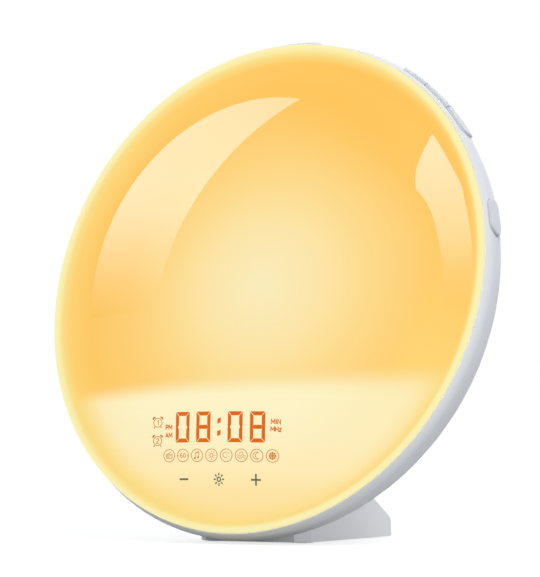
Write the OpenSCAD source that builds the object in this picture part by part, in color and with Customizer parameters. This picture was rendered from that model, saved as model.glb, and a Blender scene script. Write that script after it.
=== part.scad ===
// Sunrise alarm clock: a round lamp head with a domed light lens, a time display
// behind the lower part of the lens, five push buttons in its rim and a wedge stand.
// Units are millimetres. Z is up, the lens faces -Y, and the origin lies on the
// desk, in the middle of the clock's footprint box.
//
// Inside head_frame() the coordinates are those of the leaning face: X to the right,
// Y up along the face, Z out of the face, with z = 0 at the plane of the rim.

/* [Head] */
// Outer diameter of the round head
head_dia = 175; // [160:1:200]
// Depth of the housing behind the rim plane
housing_depth = 30; // [29:0.5:36]
// Distance of the widest circle behind the rim plane
waist_depth = 3.35; // [2.6:0.05:4]
// Radius of the curl between the rim and the widest circle
front_round = 5; // [4.6:0.1:6]
// Radius of the large round between the side and the back
back_round = 19.2; // [17.5:0.1:21]
// Wall of the housing
housing_wall = 2.2; // [1.8:0.1:2.6]
// Lean of the face, back from upright, in degrees
lean = 14.6; // [10:0.1:20]
// Gap between the lowest point of the housing and the desk
floor_gap = 0.75; // [0.7:0.05:3]

/* [Lens] */
// How far the lens edge lies inside the widest circle
lens_margin = 1.5; // [1.3:0.1:2.5]
// Height of the dome above the rim plane
lens_height = 18.9; // [15:0.1:24]
// Straight shoulder at the edge of the lens
lens_shoulder = 1.5; // [1:0.1:3]
// Round between the shoulder and the dome
lens_round = 4.4; // [3:0.1:6]
// Wall of the lens
lens_wall = 2.2; // [1.6:0.1:2.6]
// Depth of the lip that drops into the rim
lip_depth = 1.2; // [0.8:0.1:1.2]
// Radial thickness of the lip
lip_wall = 2.0; // [1.4:0.1:2.2]
// Reach of the snap hooks below the rim plane
snap_depth = 4.6; // [4:0.1:6]
// Width of each snap hook along the rim
snap_w = 5; // [3:0.5:6]

/* [Buttons] */
// Width of the buttons across the rim
button_w = 6.8; // [5.5:0.1:7]
// Distance of the buttons' front edge behind the rim plane
button_front = 1.6; // [1.6:0.1:2.4]
// Height of the buttons above the housing
button_proud = 0.9; // [0.6:0.1:1.6]
// Inward travel of a pressed button
button_travel = 0.6; // [0.3:0.05:0.6]
// Clearance between a button and its slot
slot_gap = 0.25; // [0.2:0.05:0.35]
// Gap between two neighbouring buttons of the row
seam_gap = 0.4; // [0.3:0.05:0.6]
// Thickness of the flange that keeps a button in
flange_t = 1.1; // [0.8:0.1:1.3]
// How far that flange reaches behind the slot
flange_reach = 1.0; // [0.6:0.1:1.4]
// Half length of the top button, as an angle in degrees
top_half = 6.3; // [5:0.1:8]
// Clock angle, in degrees from the top, where the row of buttons starts
row_start = 30.2; // [28:0.1:32]
// Length of each button of the row, in degrees
row_step = 8.4; // [7.5:0.1:8.6]
// Clock angle where the single side button starts
side_start = 71.8; // [70:0.1:74]
// Length of the side button, in degrees
side_span = 8.3; // [7.5:0.1:9]

/* [Switches] */
// Side length of the square switch bodies
switch_w = 6.0; // [5:0.1:6.2]
// Height of the switch bodies
switch_h = 3.5; // [3:0.1:4]
// Radius of the switch stems
stem_r = 1.7; // [1.2:0.1:2]
// Running clearance round a switch stem
stem_gap = 0.05; // [0.02:0.01:0.1]
// Length of a stem outside its switch at rest
stem_out = 1.5; // [1.2:0.1:1.8]
// Length of a stem inside its switch at rest
stem_in = 1.0; // [0.8:0.1:1.4]
// Thickness of the curved key strip
strip_t = 0.8; // [0.6:0.1:1.2]

/* [Lamp] */
// Depth of the reflector's seat behind the rim plane
seat_depth = 3; // [2.5:0.1:4]
// Clearance between the loudspeaker's magnet and the lamp board
lamp_clear = 1.52; // [1:0.02:3]
// Radius of the reflector's flat floor
dish_r = 60; // [50:1:62]
// Wall of the reflector
reflector_wall = 1.4; // [1:0.1:2]
// Thickness of the rib ring that carries reflector and key strip
rib_wall = 1.5; // [1.2:0.1:2]
// Distance of the baffle's middle above the head's lower edge
baffle_rise = 49.5; // [47.5:0.5:51.5]
// Thickness of the baffle
baffle_t = 1.4; // [1:0.1:2]
// Thickness of the circuit boards
board_t = 1.6; // [1:0.1:2]
// Side length of the square lamp diodes
led_w = 5; // [3:0.1:5.4]
// Height of the lamp diodes
led_h = 1.4; // [0.8:0.1:1.6]
// Gap between parts that are put together with room to spare
fit_gap = 0.3; // [0.2:0.05:0.4]
// Radius of the screws' shanks
screw_r = 1.5; // [1:0.1:1.6]

/* [Display] */
// Height of the digits
digit_h = 10; // [8:0.1:11]
// Width of the digits
digit_w = 5.8; // [4.5:0.1:6.2]
// Width of the segments' strokes
stroke = 1.3; // [0.9:0.05:1.5]
// Gap between neighbouring segments
segment_gap = 0.22; // [0.15:0.01:0.3]
// Distance between the digits of a pair, from middle to middle
digit_pitch = 8.7; // [8:0.1:9.5]
// Distance from the clock's middle to the middle of a pair
pair_x = 10.75; // [10.5:0.05:12]
// Distance of the digits' tops above the head's lower edge
digits_rise = 39.6; // [38.5:0.1:41.5]
// Distance of the row of symbols above the head's lower edge
symbols_rise = 25.4; // [24.5:0.1:26]
// Distance between neighbouring symbols
symbol_pitch = 5.95; // [5.6:0.05:6.1]
// Outer radius of a symbol's ring
symbol_r = 2.3; // [1.8:0.05:2.5]
// Distance of the touch keys above the head's lower edge
keys_rise = 17.7; // [17:0.1:18]
// Distance between neighbouring touch keys
keys_pitch = 14.5; // [12:0.1:16]
// Size of the signs on the touch keys
key_sign = 3.7; // [3:0.1:5]
// Stroke of those signs
key_line = 0.6; // [0.4:0.05:1]
// Thickness of the print on the lens
print_t = 0.12; // [0.1:0.01:0.2]
// Depth of the main board behind the rim plane
main_depth = 15; // [14:0.5:16]

/* [Speaker] */
// Radius of the loudspeaker
speaker_r = 18; // [15:0.5:19]
// Height of the loudspeaker's middle above the centre of the face
speaker_y = 14; // [12:0.5:18]
// Depth of the loudspeaker
speaker_depth = 12; // [11:0.5:12.5]
// Travel of the loudspeaker's cone to each side
cone_travel = 0.4; // [0.2:0.05:0.5]
// Radius of the holes in the grille
grille_hole_r = 1.0; // [0.6:0.1:1.2]
// Distance between neighbouring holes in the grille
grille_pitch = 3.4; // [3:0.1:4.5]

/* [Power inlet] */
// Outer radius of the inlet's barrel
jack_r = 4.2; // [4:0.1:4.6]
// Bore radius of the inlet
jack_bore_r = 2.8; // [2.7:0.05:3]
// Radius of the inlet's centre pin
jack_pin_r = 1.0; // [0.6:0.05:1.1]
// Place of the inlet across the back
jack_x = -34; // [-38:0.5:-30]
// Place of the inlet up the face
jack_y = -34; // [-38:0.5:-30]

/* [Stand] */
// Width of the stand at its front wall
stand_front_w = 43.6; // [36:0.2:52]
// Width of the stand at its rear
stand_rear_w = 56; // [50:0.2:62]
// Distance of the stand's front wall before the centre of the face
stand_front = 9.6; // [7:0.1:11]
// Distance of the stand's rear behind the centre of the face
stand_rear = 39; // [37:0.1:40.5]
// Flat cut across the stand's front corners
stand_chamfer = 3.8; // [2:0.1:5]
// Round of the stand's rear corners, seen from above
stand_round = 3; // [2.5:0.5:6]
// Round of the heel, seen from the side
heel_round = 3.4; // [3:0.1:5]
// Slope of the stand's rear top, in degrees
stand_slope = 38; // [36:0.5:45]
// Wall of the stand
stand_wall = 2.0; // [1.6:0.1:2.4]
// Gap between the stand and the housing
stand_gap = 0.1; // [0.05:0.05:0.2]
// How far the feet stand out of the base
foot_proud = 0.3; // [0.3:0.05:0.5]
// How deep the feet sit in the base
foot_sunk = 0.4; // [0.3:0.05:0.6]
// Radius of the feet
foot_r = 3.5; // [3:0.1:4]

/* [Hidden] */

$fn = 180;
FINE = 720;   // facets of the circles with a very large radius
EPS = 0.01;   // overlap of cutting shapes past the faces they cut

// Head: radii and the places of its rounds
head_r = head_dia / 2;
lens_r = head_r - lens_margin;
mouth_r = lens_r - 2;                // radius of the rim's opening
waist_core = head_r - front_round;   // centre of the rim's curl
back_core = head_r - back_round;     // centre of the large round

// Radius of the cap that touches a round of radius r, centred at (a, b), from
// outside, and that reaches a height h on the axis.
function cap_r(a, b, r, h) = (a * a + (h - b) * (h - b) - r * r) / (2 * ((h - b) - r));

back_cap = cap_r(back_core, waist_depth, back_round, housing_depth);
lens_cap = cap_r(lens_r - lens_round, lens_shoulder, lens_round, lens_height);

// Height, in the face's frame, of the back's surface shrunk by inset, at a radius r
back_slope = asin(back_core / (back_cap - back_round));
function back_z(r, inset) = r < (back_cap - inset) * sin(back_slope) ?
    -(housing_depth - back_cap + sqrt(pow(back_cap - inset, 2) - r * r)) :
    -(waist_depth + sqrt(pow(back_round - inset, 2) - pow(r - back_core, 2)));

// Place of the head: its lowest point clears the desk, and the part's box is
// centred on y = 0
head_z = floor_gap + back_core * cos(lean) + waist_depth * sin(lean) + back_round;
front_reach = (lens_height - lens_cap) * cos(lean) + lens_cap;
rear_reach = back_core * sin(lean) + waist_depth * cos(lean) + back_round;
head_y = (front_reach - rear_reach) / 2;

// Buttons: middle of their width and their clock angles
button_z = -button_front - button_w / 2;
row_end = row_start + 3 * row_step;
seam = seam_gap / head_r * 180 / PI / 2;     // half the seam as an angle
BUTTONS = [
    [-top_half, top_half],
    [row_start, row_start + row_step - seam],
    [row_start + row_step + seam, row_start + 2 * row_step - seam],
    [row_start + 2 * row_step + seam, row_end],
    [side_start, side_start + side_span]
];
SLOTS = [[-top_half, top_half], [row_start, row_end], [side_start, side_start + side_span]];
SLOT_OF = [0, 1, 1, 1, 2];                           // which slot a button works in
END_ROOM = [[2, 2], [2, 0], [0, 0], [0, 2], [2, 2]]; // room past its round ends, degrees

// Radial stack of a key, from the flange inwards
flange_out = housing_wall + fit_gap;                 // inset of the flange's outside
flange_in = flange_out + flange_t;                   // inset of its inside
boss_h = 1.2;                                        // boss under the flange
boss_r = stem_r + 0.8;
boss_face = head_r - flange_in - boss_h;             // radius of the boss's flat face
switch_top = boss_face - stem_out;
strip_out = switch_top - switch_h;                   // radius of the strip's outside
rib_out = strip_out - strip_t;
rib_in = rib_out - rib_wall;
strip_from = -top_half - 3;
strip_to = side_start + side_span + 3;
strip_w = switch_w + 1.4;

// Snap hooks: clock angles that stay clear of the buttons
snap_r = mouth_r - fit_gap;                          // outside of the lip
SNAPS = [18, 63.5, 105, 145, 180, 215, 255, 295, 335];
hook_t = 1.1;                                        // height of a hook
hook_out = 0.9;                                      // how far a hook reaches out

// Loudspeaker: its flange sits on a ring on the back wall
lug_r = speaker_r + 4;                               // circle of the fixing lugs
LUGS = [45, 135, 225, 315];
LUG_PLACES = [for (a = LUGS) [lug_r * cos(a), speaker_y + lug_r * sin(a)]];
lug_reach = norm(LUG_PLACES[0]) + screw_r + 1.4;
speaker_seat = back_z(lug_reach, housing_wall) + 0.3;
speaker_front = speaker_seat + speaker_depth;        // face of its magnet
basket_t = 1.2;
magnet_r = speaker_r * 0.52;
magnet_h = 4.2;
cone_r = speaker_r - 4.6;

// Display: distances below the centre of the face
baffle_y = head_r - baffle_rise;
digits_top = head_r - digits_rise;
symbols_y = head_r - symbols_rise;
keys_y = head_r - keys_rise;

// Lamp chamber
dish_depth = -speaker_front - lamp_clear - board_t - reflector_wall;
flange_top = -seat_depth + reflector_wall - 0.2;     // top of the reflector's flange
flange_edge = rib_out - 0.2;                         // rim radius of that flange
dish_top = rib_in - 3;                               // radius where the dish begins
led_top = -dish_depth - reflector_wall;              // face of the lamp board
led_board_r = dish_r - 4;
led_board_cut = baffle_y - 3;                        // the board ends above the baffle
led_ring_out = led_board_r - 6;                      // radius of the outer ring
led_limit = led_board_cut - led_w;                   // lowest place of a diode
LED_RINGS = [[led_ring_out - 36, 6], [led_ring_out - 20, 9], [led_ring_out, 11]];
lamp_screw_r = led_ring_out - 10;                    // between the two outer rings
LAMP_SCREWS = [35, 145, 200, 340];                   // angles round the face's centre
LAMP_SCREW_PLACES = [for (a = LAMP_SCREWS) [lamp_screw_r * cos(a), lamp_screw_r * sin(a)]];
head_of_screw = 2 * screw_r;
screw_head_h = 1.6;

// Display well
well_w = 60;                                         // opening in the reflector
well_top = baffle_y + baffle_t / 2 + 1;
pad_r = 2.4;                                         // pads of the touch keys
well_bottom = keys_y - pad_r - 0.1;                  // ends in the pads' holes
frame_w = well_w - 3;
frame_top = well_top + 2;
frame_bottom = well_bottom - 1.2;
display_leds_h = 0.8;

// Main board
main_face = -main_depth;
main_back = main_face - board_t;
main_r = rib_in - 1;
lamp_post_low = max([for (p = LAMP_SCREW_PLACES) -p[1]]) + screw_r + 2;
main_top = lamp_post_low + 1.8;                      // its upper edge below the centre
main_high = main_top + 5;                            // its outer screws, below the centre
main_side = head_r - 31.5;                           // and to each side
main_low = head_r - 35.5;                            // its lower screws, below the centre
MAIN_SCREWS = [[-main_side, -main_high], [main_side, -main_high], [-34, -main_low], [34, -main_low]];
cell_at = [24, 12 - main_low];
cell_r = 10;
cell_h = 3.2;

// Power inlet
jack_face = back_z(norm([jack_x, jack_y]), 0) + 0.6;

// Stand: heights above the desk and places behind the centre of the face
stand_bottom = foot_proud;
heel_y = stand_rear - heel_round;
heel_z = stand_bottom + heel_round;
stand_top = head_z - 40.9;                           // above where its slope meets the head
screw_x = 13;                                        // the stand's screws, to each side
base_t = 1.6;
stand_screw_y = 26.5 - head_r;
stand_screw_len = 8;
FEET_FRONT = [17.2, -3.2];
room_front = FEET_FRONT[1] + foot_r + 1.5;           // the base plate starts here
FEET_REAR = [19.5, heel_y - 7];
base_screw_y = heel_y - 12;
base_screw_len = 8;

// ---------------------------------------------------------------- frames and tools

// The leaning face: moves a shape from the face's frame to the clock's
module head_frame() {
    translate([0, head_y, head_z]) rotate([90 - lean, 0, 0]) children();
}

// The stand's frame: y = 0 under the centre of the face, z = 0 on the desk
module stand_frame() {
    translate([0, head_y, 0]) children();
}

// Puts a shape whose axis is Z on the rim at a clock angle, pointing outwards
module at_clock(angle, z) {
    translate([0, 0, z]) rotate([0, 0, -angle]) rotate([-90, 0, 0]) children();
}

// Revolves a profile between two clock angles
module sector(from, to) {
    rotate([0, 0, 90 - to]) rotate_extrude(angle = to - from) children();
}

// Half of the head's outline on one side of the rim plane: a straight edge, a round
// and a shallow cap that touches it. Everything shrinks by inset.
module half_outline(edge_r, shoulder, round_r, height, cap, inset) {
    core = edge_r - round_r;
    slope = asin(core / (cap - round_r));
    far = round_r + 5;
    intersection() {
        square([edge_r - inset, shoulder]);
        square([edge_r + far, shoulder + EPS]);
    }
    intersection() {
        translate([core, shoulder]) circle(r = round_r - inset);
        translate([0, shoulder]) square([edge_r + far, height + far]);
    }
    intersection() {
        translate([0, height - cap]) circle(r = cap - inset, $fn = FINE);
        polygon([
            [0, shoulder], [core, shoulder],
            [core + far * sin(slope), shoulder + far * cos(slope)], [0, height + far]
        ]);
    }
}

// Outline of the housing behind the rim plane, with z measured backwards
module housing_back_2d(inset) {
    intersection() {
        half_outline(head_r, waist_depth, back_round, housing_depth, back_cap, inset);
        translate([0, waist_depth]) square([head_r + 20, housing_depth + 20]);
    }
    square([waist_core, waist_depth + EPS]);
    intersection() {
        translate([waist_core, waist_depth]) circle(r = front_round - inset);
        translate([waist_core - EPS, 0]) square([front_round + 20, waist_depth]);
    }
}

module housing_2d(inset) {
    mirror([0, 1]) housing_back_2d(inset);
}

module housing_solid(inset) {
    rotate_extrude() housing_2d(inset);
}

module lens_2d(inset) {
    half_outline(lens_r, lens_shoulder, lens_round, lens_height, lens_cap, inset);
}

// Band of the rim between two insets and over a range of depths
module band_2d(out, in, z_low, z_high) {
    intersection() {
        difference() {
            housing_2d(out);
            housing_2d(in);
        }
        translate([waist_core - 3, z_low]) square([front_round + 20, z_high - z_low]);
    }
}

// A screw along Z with its head above z = 0 and its shank below
module screw(length, recess = true) {
    difference() {
        union() {
            cylinder(r = head_of_screw, h = screw_head_h);
            translate([0, 0, -length]) cylinder(r = screw_r, h = length + EPS);
        }
        if (recess) {
            for (turn = [0, 90]) {
                translate([0, 0, screw_head_h]) rotate([0, 0, turn])
                    cube([2.6, 0.6, 1.6], center = true);
            }
        }
    }
}

module at_polar(radius, angle) {
    translate([radius * cos(angle), radius * sin(angle), 0]) children();
}

// ---------------------------------------------------------------- buttons and keys

// Outline of a key on the rim's tangent plane: a bar with half round ends
module key_outline_2d(half, width) {
    end = width / 2;
    square([2 * (half - end), width], center = true);
    for (side = [-1, 1]) translate([side * (half - end), 0]) circle(r = end);
}

function mid(span) = (span[0] + span[1]) / 2;
function half_chord(span) = head_r * sin((span[1] - span[0]) / 2);

// Prism along the direction of travel of a key, or of the middle key of the row, and
// wider than the key by gap all round
module key_prism(span, gap) {
    half = half_chord(span) + gap;
    start = boss_face * cos((span[1] - span[0]) / 2) - 1;
    at_clock(mid(span), button_z) translate([0, 0, start])
        linear_extrude(height = head_r + 5 - start) key_outline_2d(half, button_w + 2 * gap);
}

// A button's head: its slot's prism, cut to its own stretch of the rim
module button_head(i) {
    intersection() {
        key_prism(SLOTS[SLOT_OF[i]], 0);
        sector(BUTTONS[i][0] - END_ROOM[i][0], BUTTONS[i][1] + END_ROOM[i][1])
            band_2d(-button_proud, flange_out + flange_t / 2, button_z - button_w, 0);
    }
}

module push_button(i) {
    middle = (BUTTONS[i][0] + BUTTONS[i][1]) / 2;
    low = button_z - button_w / 2 - slot_gap - flange_reach;
    button_head(i);
    sector(BUTTONS[i][0] + 0.8, BUTTONS[i][1] - 0.8)
        band_2d(flange_out, flange_in, low, -button_front - fit_gap);
    at_clock(middle, button_z) translate([0, 0, boss_face])
        cylinder(r = boss_r, h = boss_h + flange_t / 2);
}

module switch_stem(i) {
    at_clock((BUTTONS[i][0] + BUTTONS[i][1]) / 2, button_z)
        translate([0, 0, switch_top - stem_in])
            cylinder(r = stem_r, h = stem_in + stem_out);
}

module tact_switch(i) {
    depth = stem_in + button_travel + 0.15;
    at_clock((BUTTONS[i][0] + BUTTONS[i][1]) / 2, button_z) difference() {
        translate([-switch_w / 2, -switch_w / 2, strip_out]) cube([switch_w, switch_w, switch_h]);
        translate([0, 0, switch_top - depth]) cylinder(r = stem_r + stem_gap, h = depth + 1);
        // flat seat: the strip is curved, so the body's underside follows it
        translate([0, switch_w, 0]) rotate([90, 0, 0])
            cylinder(r = strip_out, h = 2 * switch_w);
    }
}

// ---------------------------------------------------------------- display shapes

// One segment of a digit, numbered from the top clockwise with the middle last. The
// digit's lower left corner is the origin, and mitred ends leave the segment gap.
module segment_2d(i) {
    g = segment_gap / 2 * sqrt(2);
    t = stroke;
    w = digit_w;
    h = digit_h / 2 + t / 2;
    lying = [[g, 0], [w - g, 0], [w - t - g, t], [t + g, t]];
    upright = [[0, g], [0, h - t / 2 - g], [t / 2, h - g], [t, h - t - g], [t, t + g]];
    bar = [[t / 2 + g, 0], [t + g, -t / 2], [w - t - g, -t / 2],
        [w - t / 2 - g, 0], [w - t - g, t / 2], [t + g, t / 2]];
    if (i == 0) translate([0, digit_h]) mirror([0, 1]) polygon(lying);
    if (i == 1) translate([w, digit_h]) mirror([1, 0]) mirror([0, 1]) polygon(upright);
    if (i == 2) translate([w, 0]) mirror([1, 0]) polygon(upright);
    if (i == 3) polygon(lying);
    if (i == 4) polygon(upright);
    if (i == 5) translate([0, digit_h]) mirror([0, 1]) polygon(upright);
    if (i == 6) translate([0, digit_h / 2]) polygon(bar);
}

// Places of the four digits, and the segments that light up to show 08:08
DIGITS_X = [-pair_x - digit_pitch / 2, -pair_x + digit_pitch / 2,
    pair_x - digit_pitch / 2, pair_x + digit_pitch / 2];
LIT = [5, 6, 5, 6];   // number of the last lit segment of each digit
COLON = [[-stroke / 2, -0.8], [stroke / 2, -0.3], [stroke / 2, 1.3], [-stroke / 2, 0.8]];

module at_digit(i) {
    translate([DIGITS_X[i] - digit_w / 2, -digits_top - digit_h]) children();
}

module colon_2d() {
    for (side = [-1, 1]) {
        translate([0, -digits_top - digit_h / 2 + side * 2.0 - 0.25]) polygon(COLON);
    }
}

module symbol_2d(i) {
    x = (i - 3.5) * symbol_pitch;
    translate([x, -symbols_y]) difference() {
        circle(r = symbol_r, $fn = 48);
        if (i < 7) circle(r = symbol_r - 0.32, $fn = 48);
    }
}

module minus_2d() {
    square([key_sign, key_line], center = true);
}

module plus_2d() {
    minus_2d();
    for (side = [-1, 1]) {
        translate([-key_line / 2, side > 0 ? key_line / 2 : -key_sign / 2])
            square([key_line, (key_sign - key_line) / 2]);
    }
}

module sun_2d() {
    difference() {
        circle(r = key_sign * 0.24, $fn = 48);
        circle(r = key_sign * 0.24 - key_line * 0.7, $fn = 48);
    }
    for (turn = [0 : 45 : 315]) {
        rotate(turn) translate([key_sign * 0.35, -key_line * 0.4])
            square([key_sign * 0.21, key_line * 0.8]);
    }
}

// Prints a flat shape on the lens: the shape's prism cut to a thin layer on the dome
module print_on_lens() {
    intersection() {
        linear_extrude(height = lens_height + 2) children();
        rotate_extrude() intersection() {
            translate([0, lens_height - lens_cap]) difference() {
                circle(r = lens_cap + print_t, $fn = FINE);
                circle(r = lens_cap, $fn = FINE);
            }
            translate([0, 1]) square([lens_r - lens_round, lens_height + 2]);
        }
    }
}

// ---------------------------------------------------------------- lens and prints

// Domed light lens with a lip that drops into the rim and hooks that snap under it
module front_lens() {
    color([0.99, 0.84, 0.45]) head_frame() {
        rotate_extrude() difference() {
            lens_2d(0);
            intersection() {
                lens_2d(lens_wall);
                translate([0, -1]) square([snap_r - lip_wall, lens_height + 2]);
            }
        }
        rotate_extrude() translate([snap_r - lip_wall, -lip_depth]) square([lip_wall, lip_depth + 1]);
        for (angle = SNAPS) snap_hook(angle);
    }
}

module snap_hook(angle) {
    turn = snap_w / snap_r * 90 / PI;
    root = -lip_depth + 0.5;
    sector(angle - turn, angle + turn) polygon([
        [snap_r - 1.2, root], [snap_r - 1.2, -snap_depth],
        [snap_r - 0.3, -snap_depth], [snap_r + hook_out, -snap_depth + hook_t + 0.6],
        [snap_r + hook_out, -lip_depth - 0.6], [snap_r - 0.2, -lip_depth - 0.6],
        [snap_r - 0.2, root]
    ]);
}

// Lit segments of the digits and the colon, showing 08:08
module lit_segments() {
    color([0.9, 0.38, 0.08]) head_frame() print_on_lens() {
        for (i = [0 : 3]) at_digit(i) for (s = [0 : LIT[i]]) segment_2d(s);
        colon_2d();
    }
}

// Row of function symbols under the digits, as rings, with the lit one filled
module symbol_windows() {
    color([0.85, 0.5, 0.2]) head_frame() print_on_lens() {
        for (i = [0 : 7]) symbol_2d(i);
    }
}

// Grey prints of the three touch keys: less, light and more
module touch_key_prints() {
    color([0.42, 0.42, 0.4]) head_frame() print_on_lens() {
        translate([-keys_pitch, -keys_y]) minus_2d();
        translate([0, -keys_y]) sun_2d();
        translate([keys_pitch, -keys_y]) plus_2d();
    }
}

// ---------------------------------------------------------------- lamp

// Profile of the reflector's upper side, from its floor to its flange
module chamber_2d() {
    polygon([[0, -dish_depth], [dish_r, -dish_depth], [dish_top, flange_top],
        [flange_edge, flange_top], [flange_edge, EPS], [0, EPS]]);
}

// White dish that throws the light forwards, with holes for the lamp diodes
module light_reflector() {
    t = reflector_wall;
    color([0.95, 0.95, 0.93]) head_frame() difference() {
        rotate_extrude() polygon([
            [0, -dish_depth], [dish_r, -dish_depth], [dish_top, flange_top],
            [flange_edge, flange_top], [flange_edge, -seat_depth], [dish_top + 0.6, -seat_depth],
            [dish_r + 0.6, -dish_depth - t], [0, -dish_depth - t]
        ]);
        translate([-well_w / 2, -well_bottom, -dish_depth - 2 * t])
            cube([well_w, well_bottom - well_top, dish_depth + 2 * t]);
        for (p = LED_PLACES) translate([p[0], p[1], -dish_depth - 2 * t])
            cylinder(r = led_w * 0.78, h = 3 * t, $fn = 48);
        for (p = LAMP_SCREW_PLACES) translate([p[0], p[1], -dish_depth - 2 * t])
            cylinder(r = screw_r + 0.2, h = 3 * t, $fn = 48);
        for (side = [-1 : 1]) translate([side * keys_pitch, -keys_y, -dish_depth - 2 * t])
            cylinder(r = pad_r + 0.5, h = dish_depth + 2 * t, $fn = 48);
    }
}

// Wall between the lamp's chamber and the display's
module light_baffle() {
    color([0.92, 0.92, 0.9]) head_frame() intersection() {
        translate([-head_r, -baffle_y - baffle_t / 2, -dish_depth])
            cube([head_dia, baffle_t, dish_depth + lens_height]);
        rotate_extrude() {
            chamber_2d();
            intersection() {
                lens_2d(lens_wall + fit_gap);
                square([flange_edge, lens_height]);
            }
        }
    }
}

// Lamp diodes on three rings, spread over the arc that clears the display
function led_arc(r) = r > led_limit ? acos(-led_limit / r) : 180;
function led_angle(ring, k) = 90 + led_arc(ring[0]) *
    (led_arc(ring[0]) < 180 ? 2 * k / (ring[1] - 1) - 1 : 2 * k / ring[1]);
LED_PLACES = [for (ring = LED_RINGS) for (k = [0 : ring[1] - 1])
    ring[0] * [cos(led_angle(ring, k)), sin(led_angle(ring, k))]];

module led_board() {
    color([0.9, 0.92, 0.9]) head_frame() difference() {
        intersection() {
            translate([0, 0, led_top - board_t]) cylinder(r = led_board_r, h = board_t);
            translate([-head_r, -led_board_cut, -head_r]) cube([head_dia, head_dia, head_dia]);
        }
        for (p = LAMP_SCREW_PLACES) translate([p[0], p[1], led_top - 2 * board_t])
            cylinder(r = screw_r + 0.2, h = 3 * board_t, $fn = 48);
    }
}

module lamp_leds() {
    color([1, 0.9, 0.6]) head_frame() for (p = LED_PLACES) {
        translate([p[0], p[1], led_top]) difference() {
            translate([-led_w / 2, -led_w / 2, 0]) cube([led_w, led_w, led_h]);
            translate([0, 0, led_h - 0.3]) cylinder(r = led_w * 0.4, h = 1, $fn = 32);
        }
    }
}

lamp_screw_len = 9;
module lamp_screws() {
    color([0.7, 0.7, 0.72]) head_frame() for (p = LAMP_SCREW_PLACES) {
        translate([p[0], p[1], -dish_depth]) screw(lamp_screw_len);
    }
}

// ---------------------------------------------------------------- display and boards

// Light box of the display: a block with one light shaft for each segment and symbol,
// whose front follows the inside of the lens
module display_frame() {
    color([0.93, 0.93, 0.9]) head_frame() difference() {
        intersection() {
            translate([-frame_w / 2, -frame_bottom, main_face])
                cube([frame_w, frame_bottom - frame_top, main_depth + lens_height]);
            rotate_extrude() {
                intersection() {
                    lens_2d(lens_wall + fit_gap);
                    square([flange_edge, lens_height]);
                }
                translate([0, -housing_depth]) square([flange_edge, housing_depth + EPS]);
            }
        }
        translate([0, 0, main_face - 1]) linear_extrude(height = main_depth + lens_height) {
            for (i = [0 : 3]) at_digit(i) for (s = [0 : 6]) segment_2d(s);
            colon_2d();
            for (i = [0 : 7]) translate([(i - 3.5) * symbol_pitch, -symbols_y])
                circle(r = symbol_r - 0.1, $fn = 48);
        }
    }
}

// Small diodes at the foot of the light shafts
function segment_mid(s) =
    s == 0 ? [digit_w / 2, digit_h - stroke / 2] :
    s == 1 ? [digit_w - stroke / 2, digit_h * 0.75] :
    s == 2 ? [digit_w - stroke / 2, digit_h * 0.25] :
    s == 3 ? [digit_w / 2, stroke / 2] :
    s == 4 ? [stroke / 2, digit_h * 0.25] :
    s == 5 ? [stroke / 2, digit_h * 0.75] : [digit_w / 2, digit_h / 2];

module small_led(size) {
    translate([-size / 2, -size / 2, main_face]) cube([size, size, display_leds_h]);
}

module display_leds() {
    size = stroke * 0.6;
    color([1, 0.8, 0.4]) head_frame() {
        for (i = [0 : 3]) at_digit(i) for (s = [0 : 6]) translate(segment_mid(s)) small_led(size);
        for (side = [-1, 1]) translate([0, -digits_top - digit_h / 2 + side * 2]) small_led(size);
        for (i = [0 : 7]) translate([(i - 3.5) * symbol_pitch, -symbols_y]) small_led(1.6);
    }
}

// Springy pads that carry the touch keys' signal from the lens to the main board
module touch_pads() {
    color([0.3, 0.3, 0.32]) head_frame() intersection() {
        for (side = [-1 : 1]) translate([side * keys_pitch, -keys_y, main_face])
            cylinder(r = pad_r, h = main_depth + lens_height, $fn = 48);
        rotate_extrude() {
            lens_2d(lens_wall);
            translate([0, -housing_depth]) square([head_r, housing_depth + EPS]);
        }
    }
}

module main_board() {
    color([0.1, 0.4, 0.2]) head_frame() difference() {
        intersection() {
            translate([0, 0, main_back]) cylinder(r = main_r, h = board_t);
            translate([-head_r, -head_r, main_back]) cube([head_dia, head_r - main_top, board_t]);
        }
        for (p = MAIN_SCREWS) translate([p[0], p[1], main_back - 1])
            cylinder(r = screw_r + 0.2, h = board_t + 2, $fn = 48);
    }
}

// Chips on the back of the main board: controller, radio, amplifier and clock crystal
CHIPS = [[0, 8 - main_low, 12, 12, 1.4], [-16, 2 - main_high, 8, 5, 1.6],
    [8, 2 - main_high, 6, 6, 1.2], [-18, -main_low, 8, 3, 2.4], [6 - main_side, -40, 5, 9, 1.5]];
module board_chips() {
    color([0.12, 0.12, 0.13]) head_frame() for (c = CHIPS) {
        translate([c[0] - c[2] / 2, c[1] - c[3] / 2, main_back - c[4]]) cube([c[2], c[3], c[4]]);
    }
}

board_screw_len = 5;
module board_screws() {
    color([0.7, 0.7, 0.72]) head_frame() for (p = MAIN_SCREWS) {
        translate([p[0], p[1], main_face]) screw(board_screw_len);
    }
}

// Holder of the backup cell, a cup on the back of the main board
module cell_holder() {
    color([0.15, 0.15, 0.16]) head_frame() translate([cell_at[0], cell_at[1], main_back - cell_h - 1])
        difference() {
            cylinder(r = cell_r + 1.6, h = cell_h + 1);
            translate([0, 0, -1]) cylinder(r = cell_r + 0.2, h = cell_h + 1);
        }
}

module backup_cell() {
    color([0.8, 0.8, 0.82]) head_frame()
        translate([cell_at[0], cell_at[1], main_back - cell_h - 1]) cylinder(r = cell_r, h = cell_h);
}

// ---------------------------------------------------------------- housing

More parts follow.
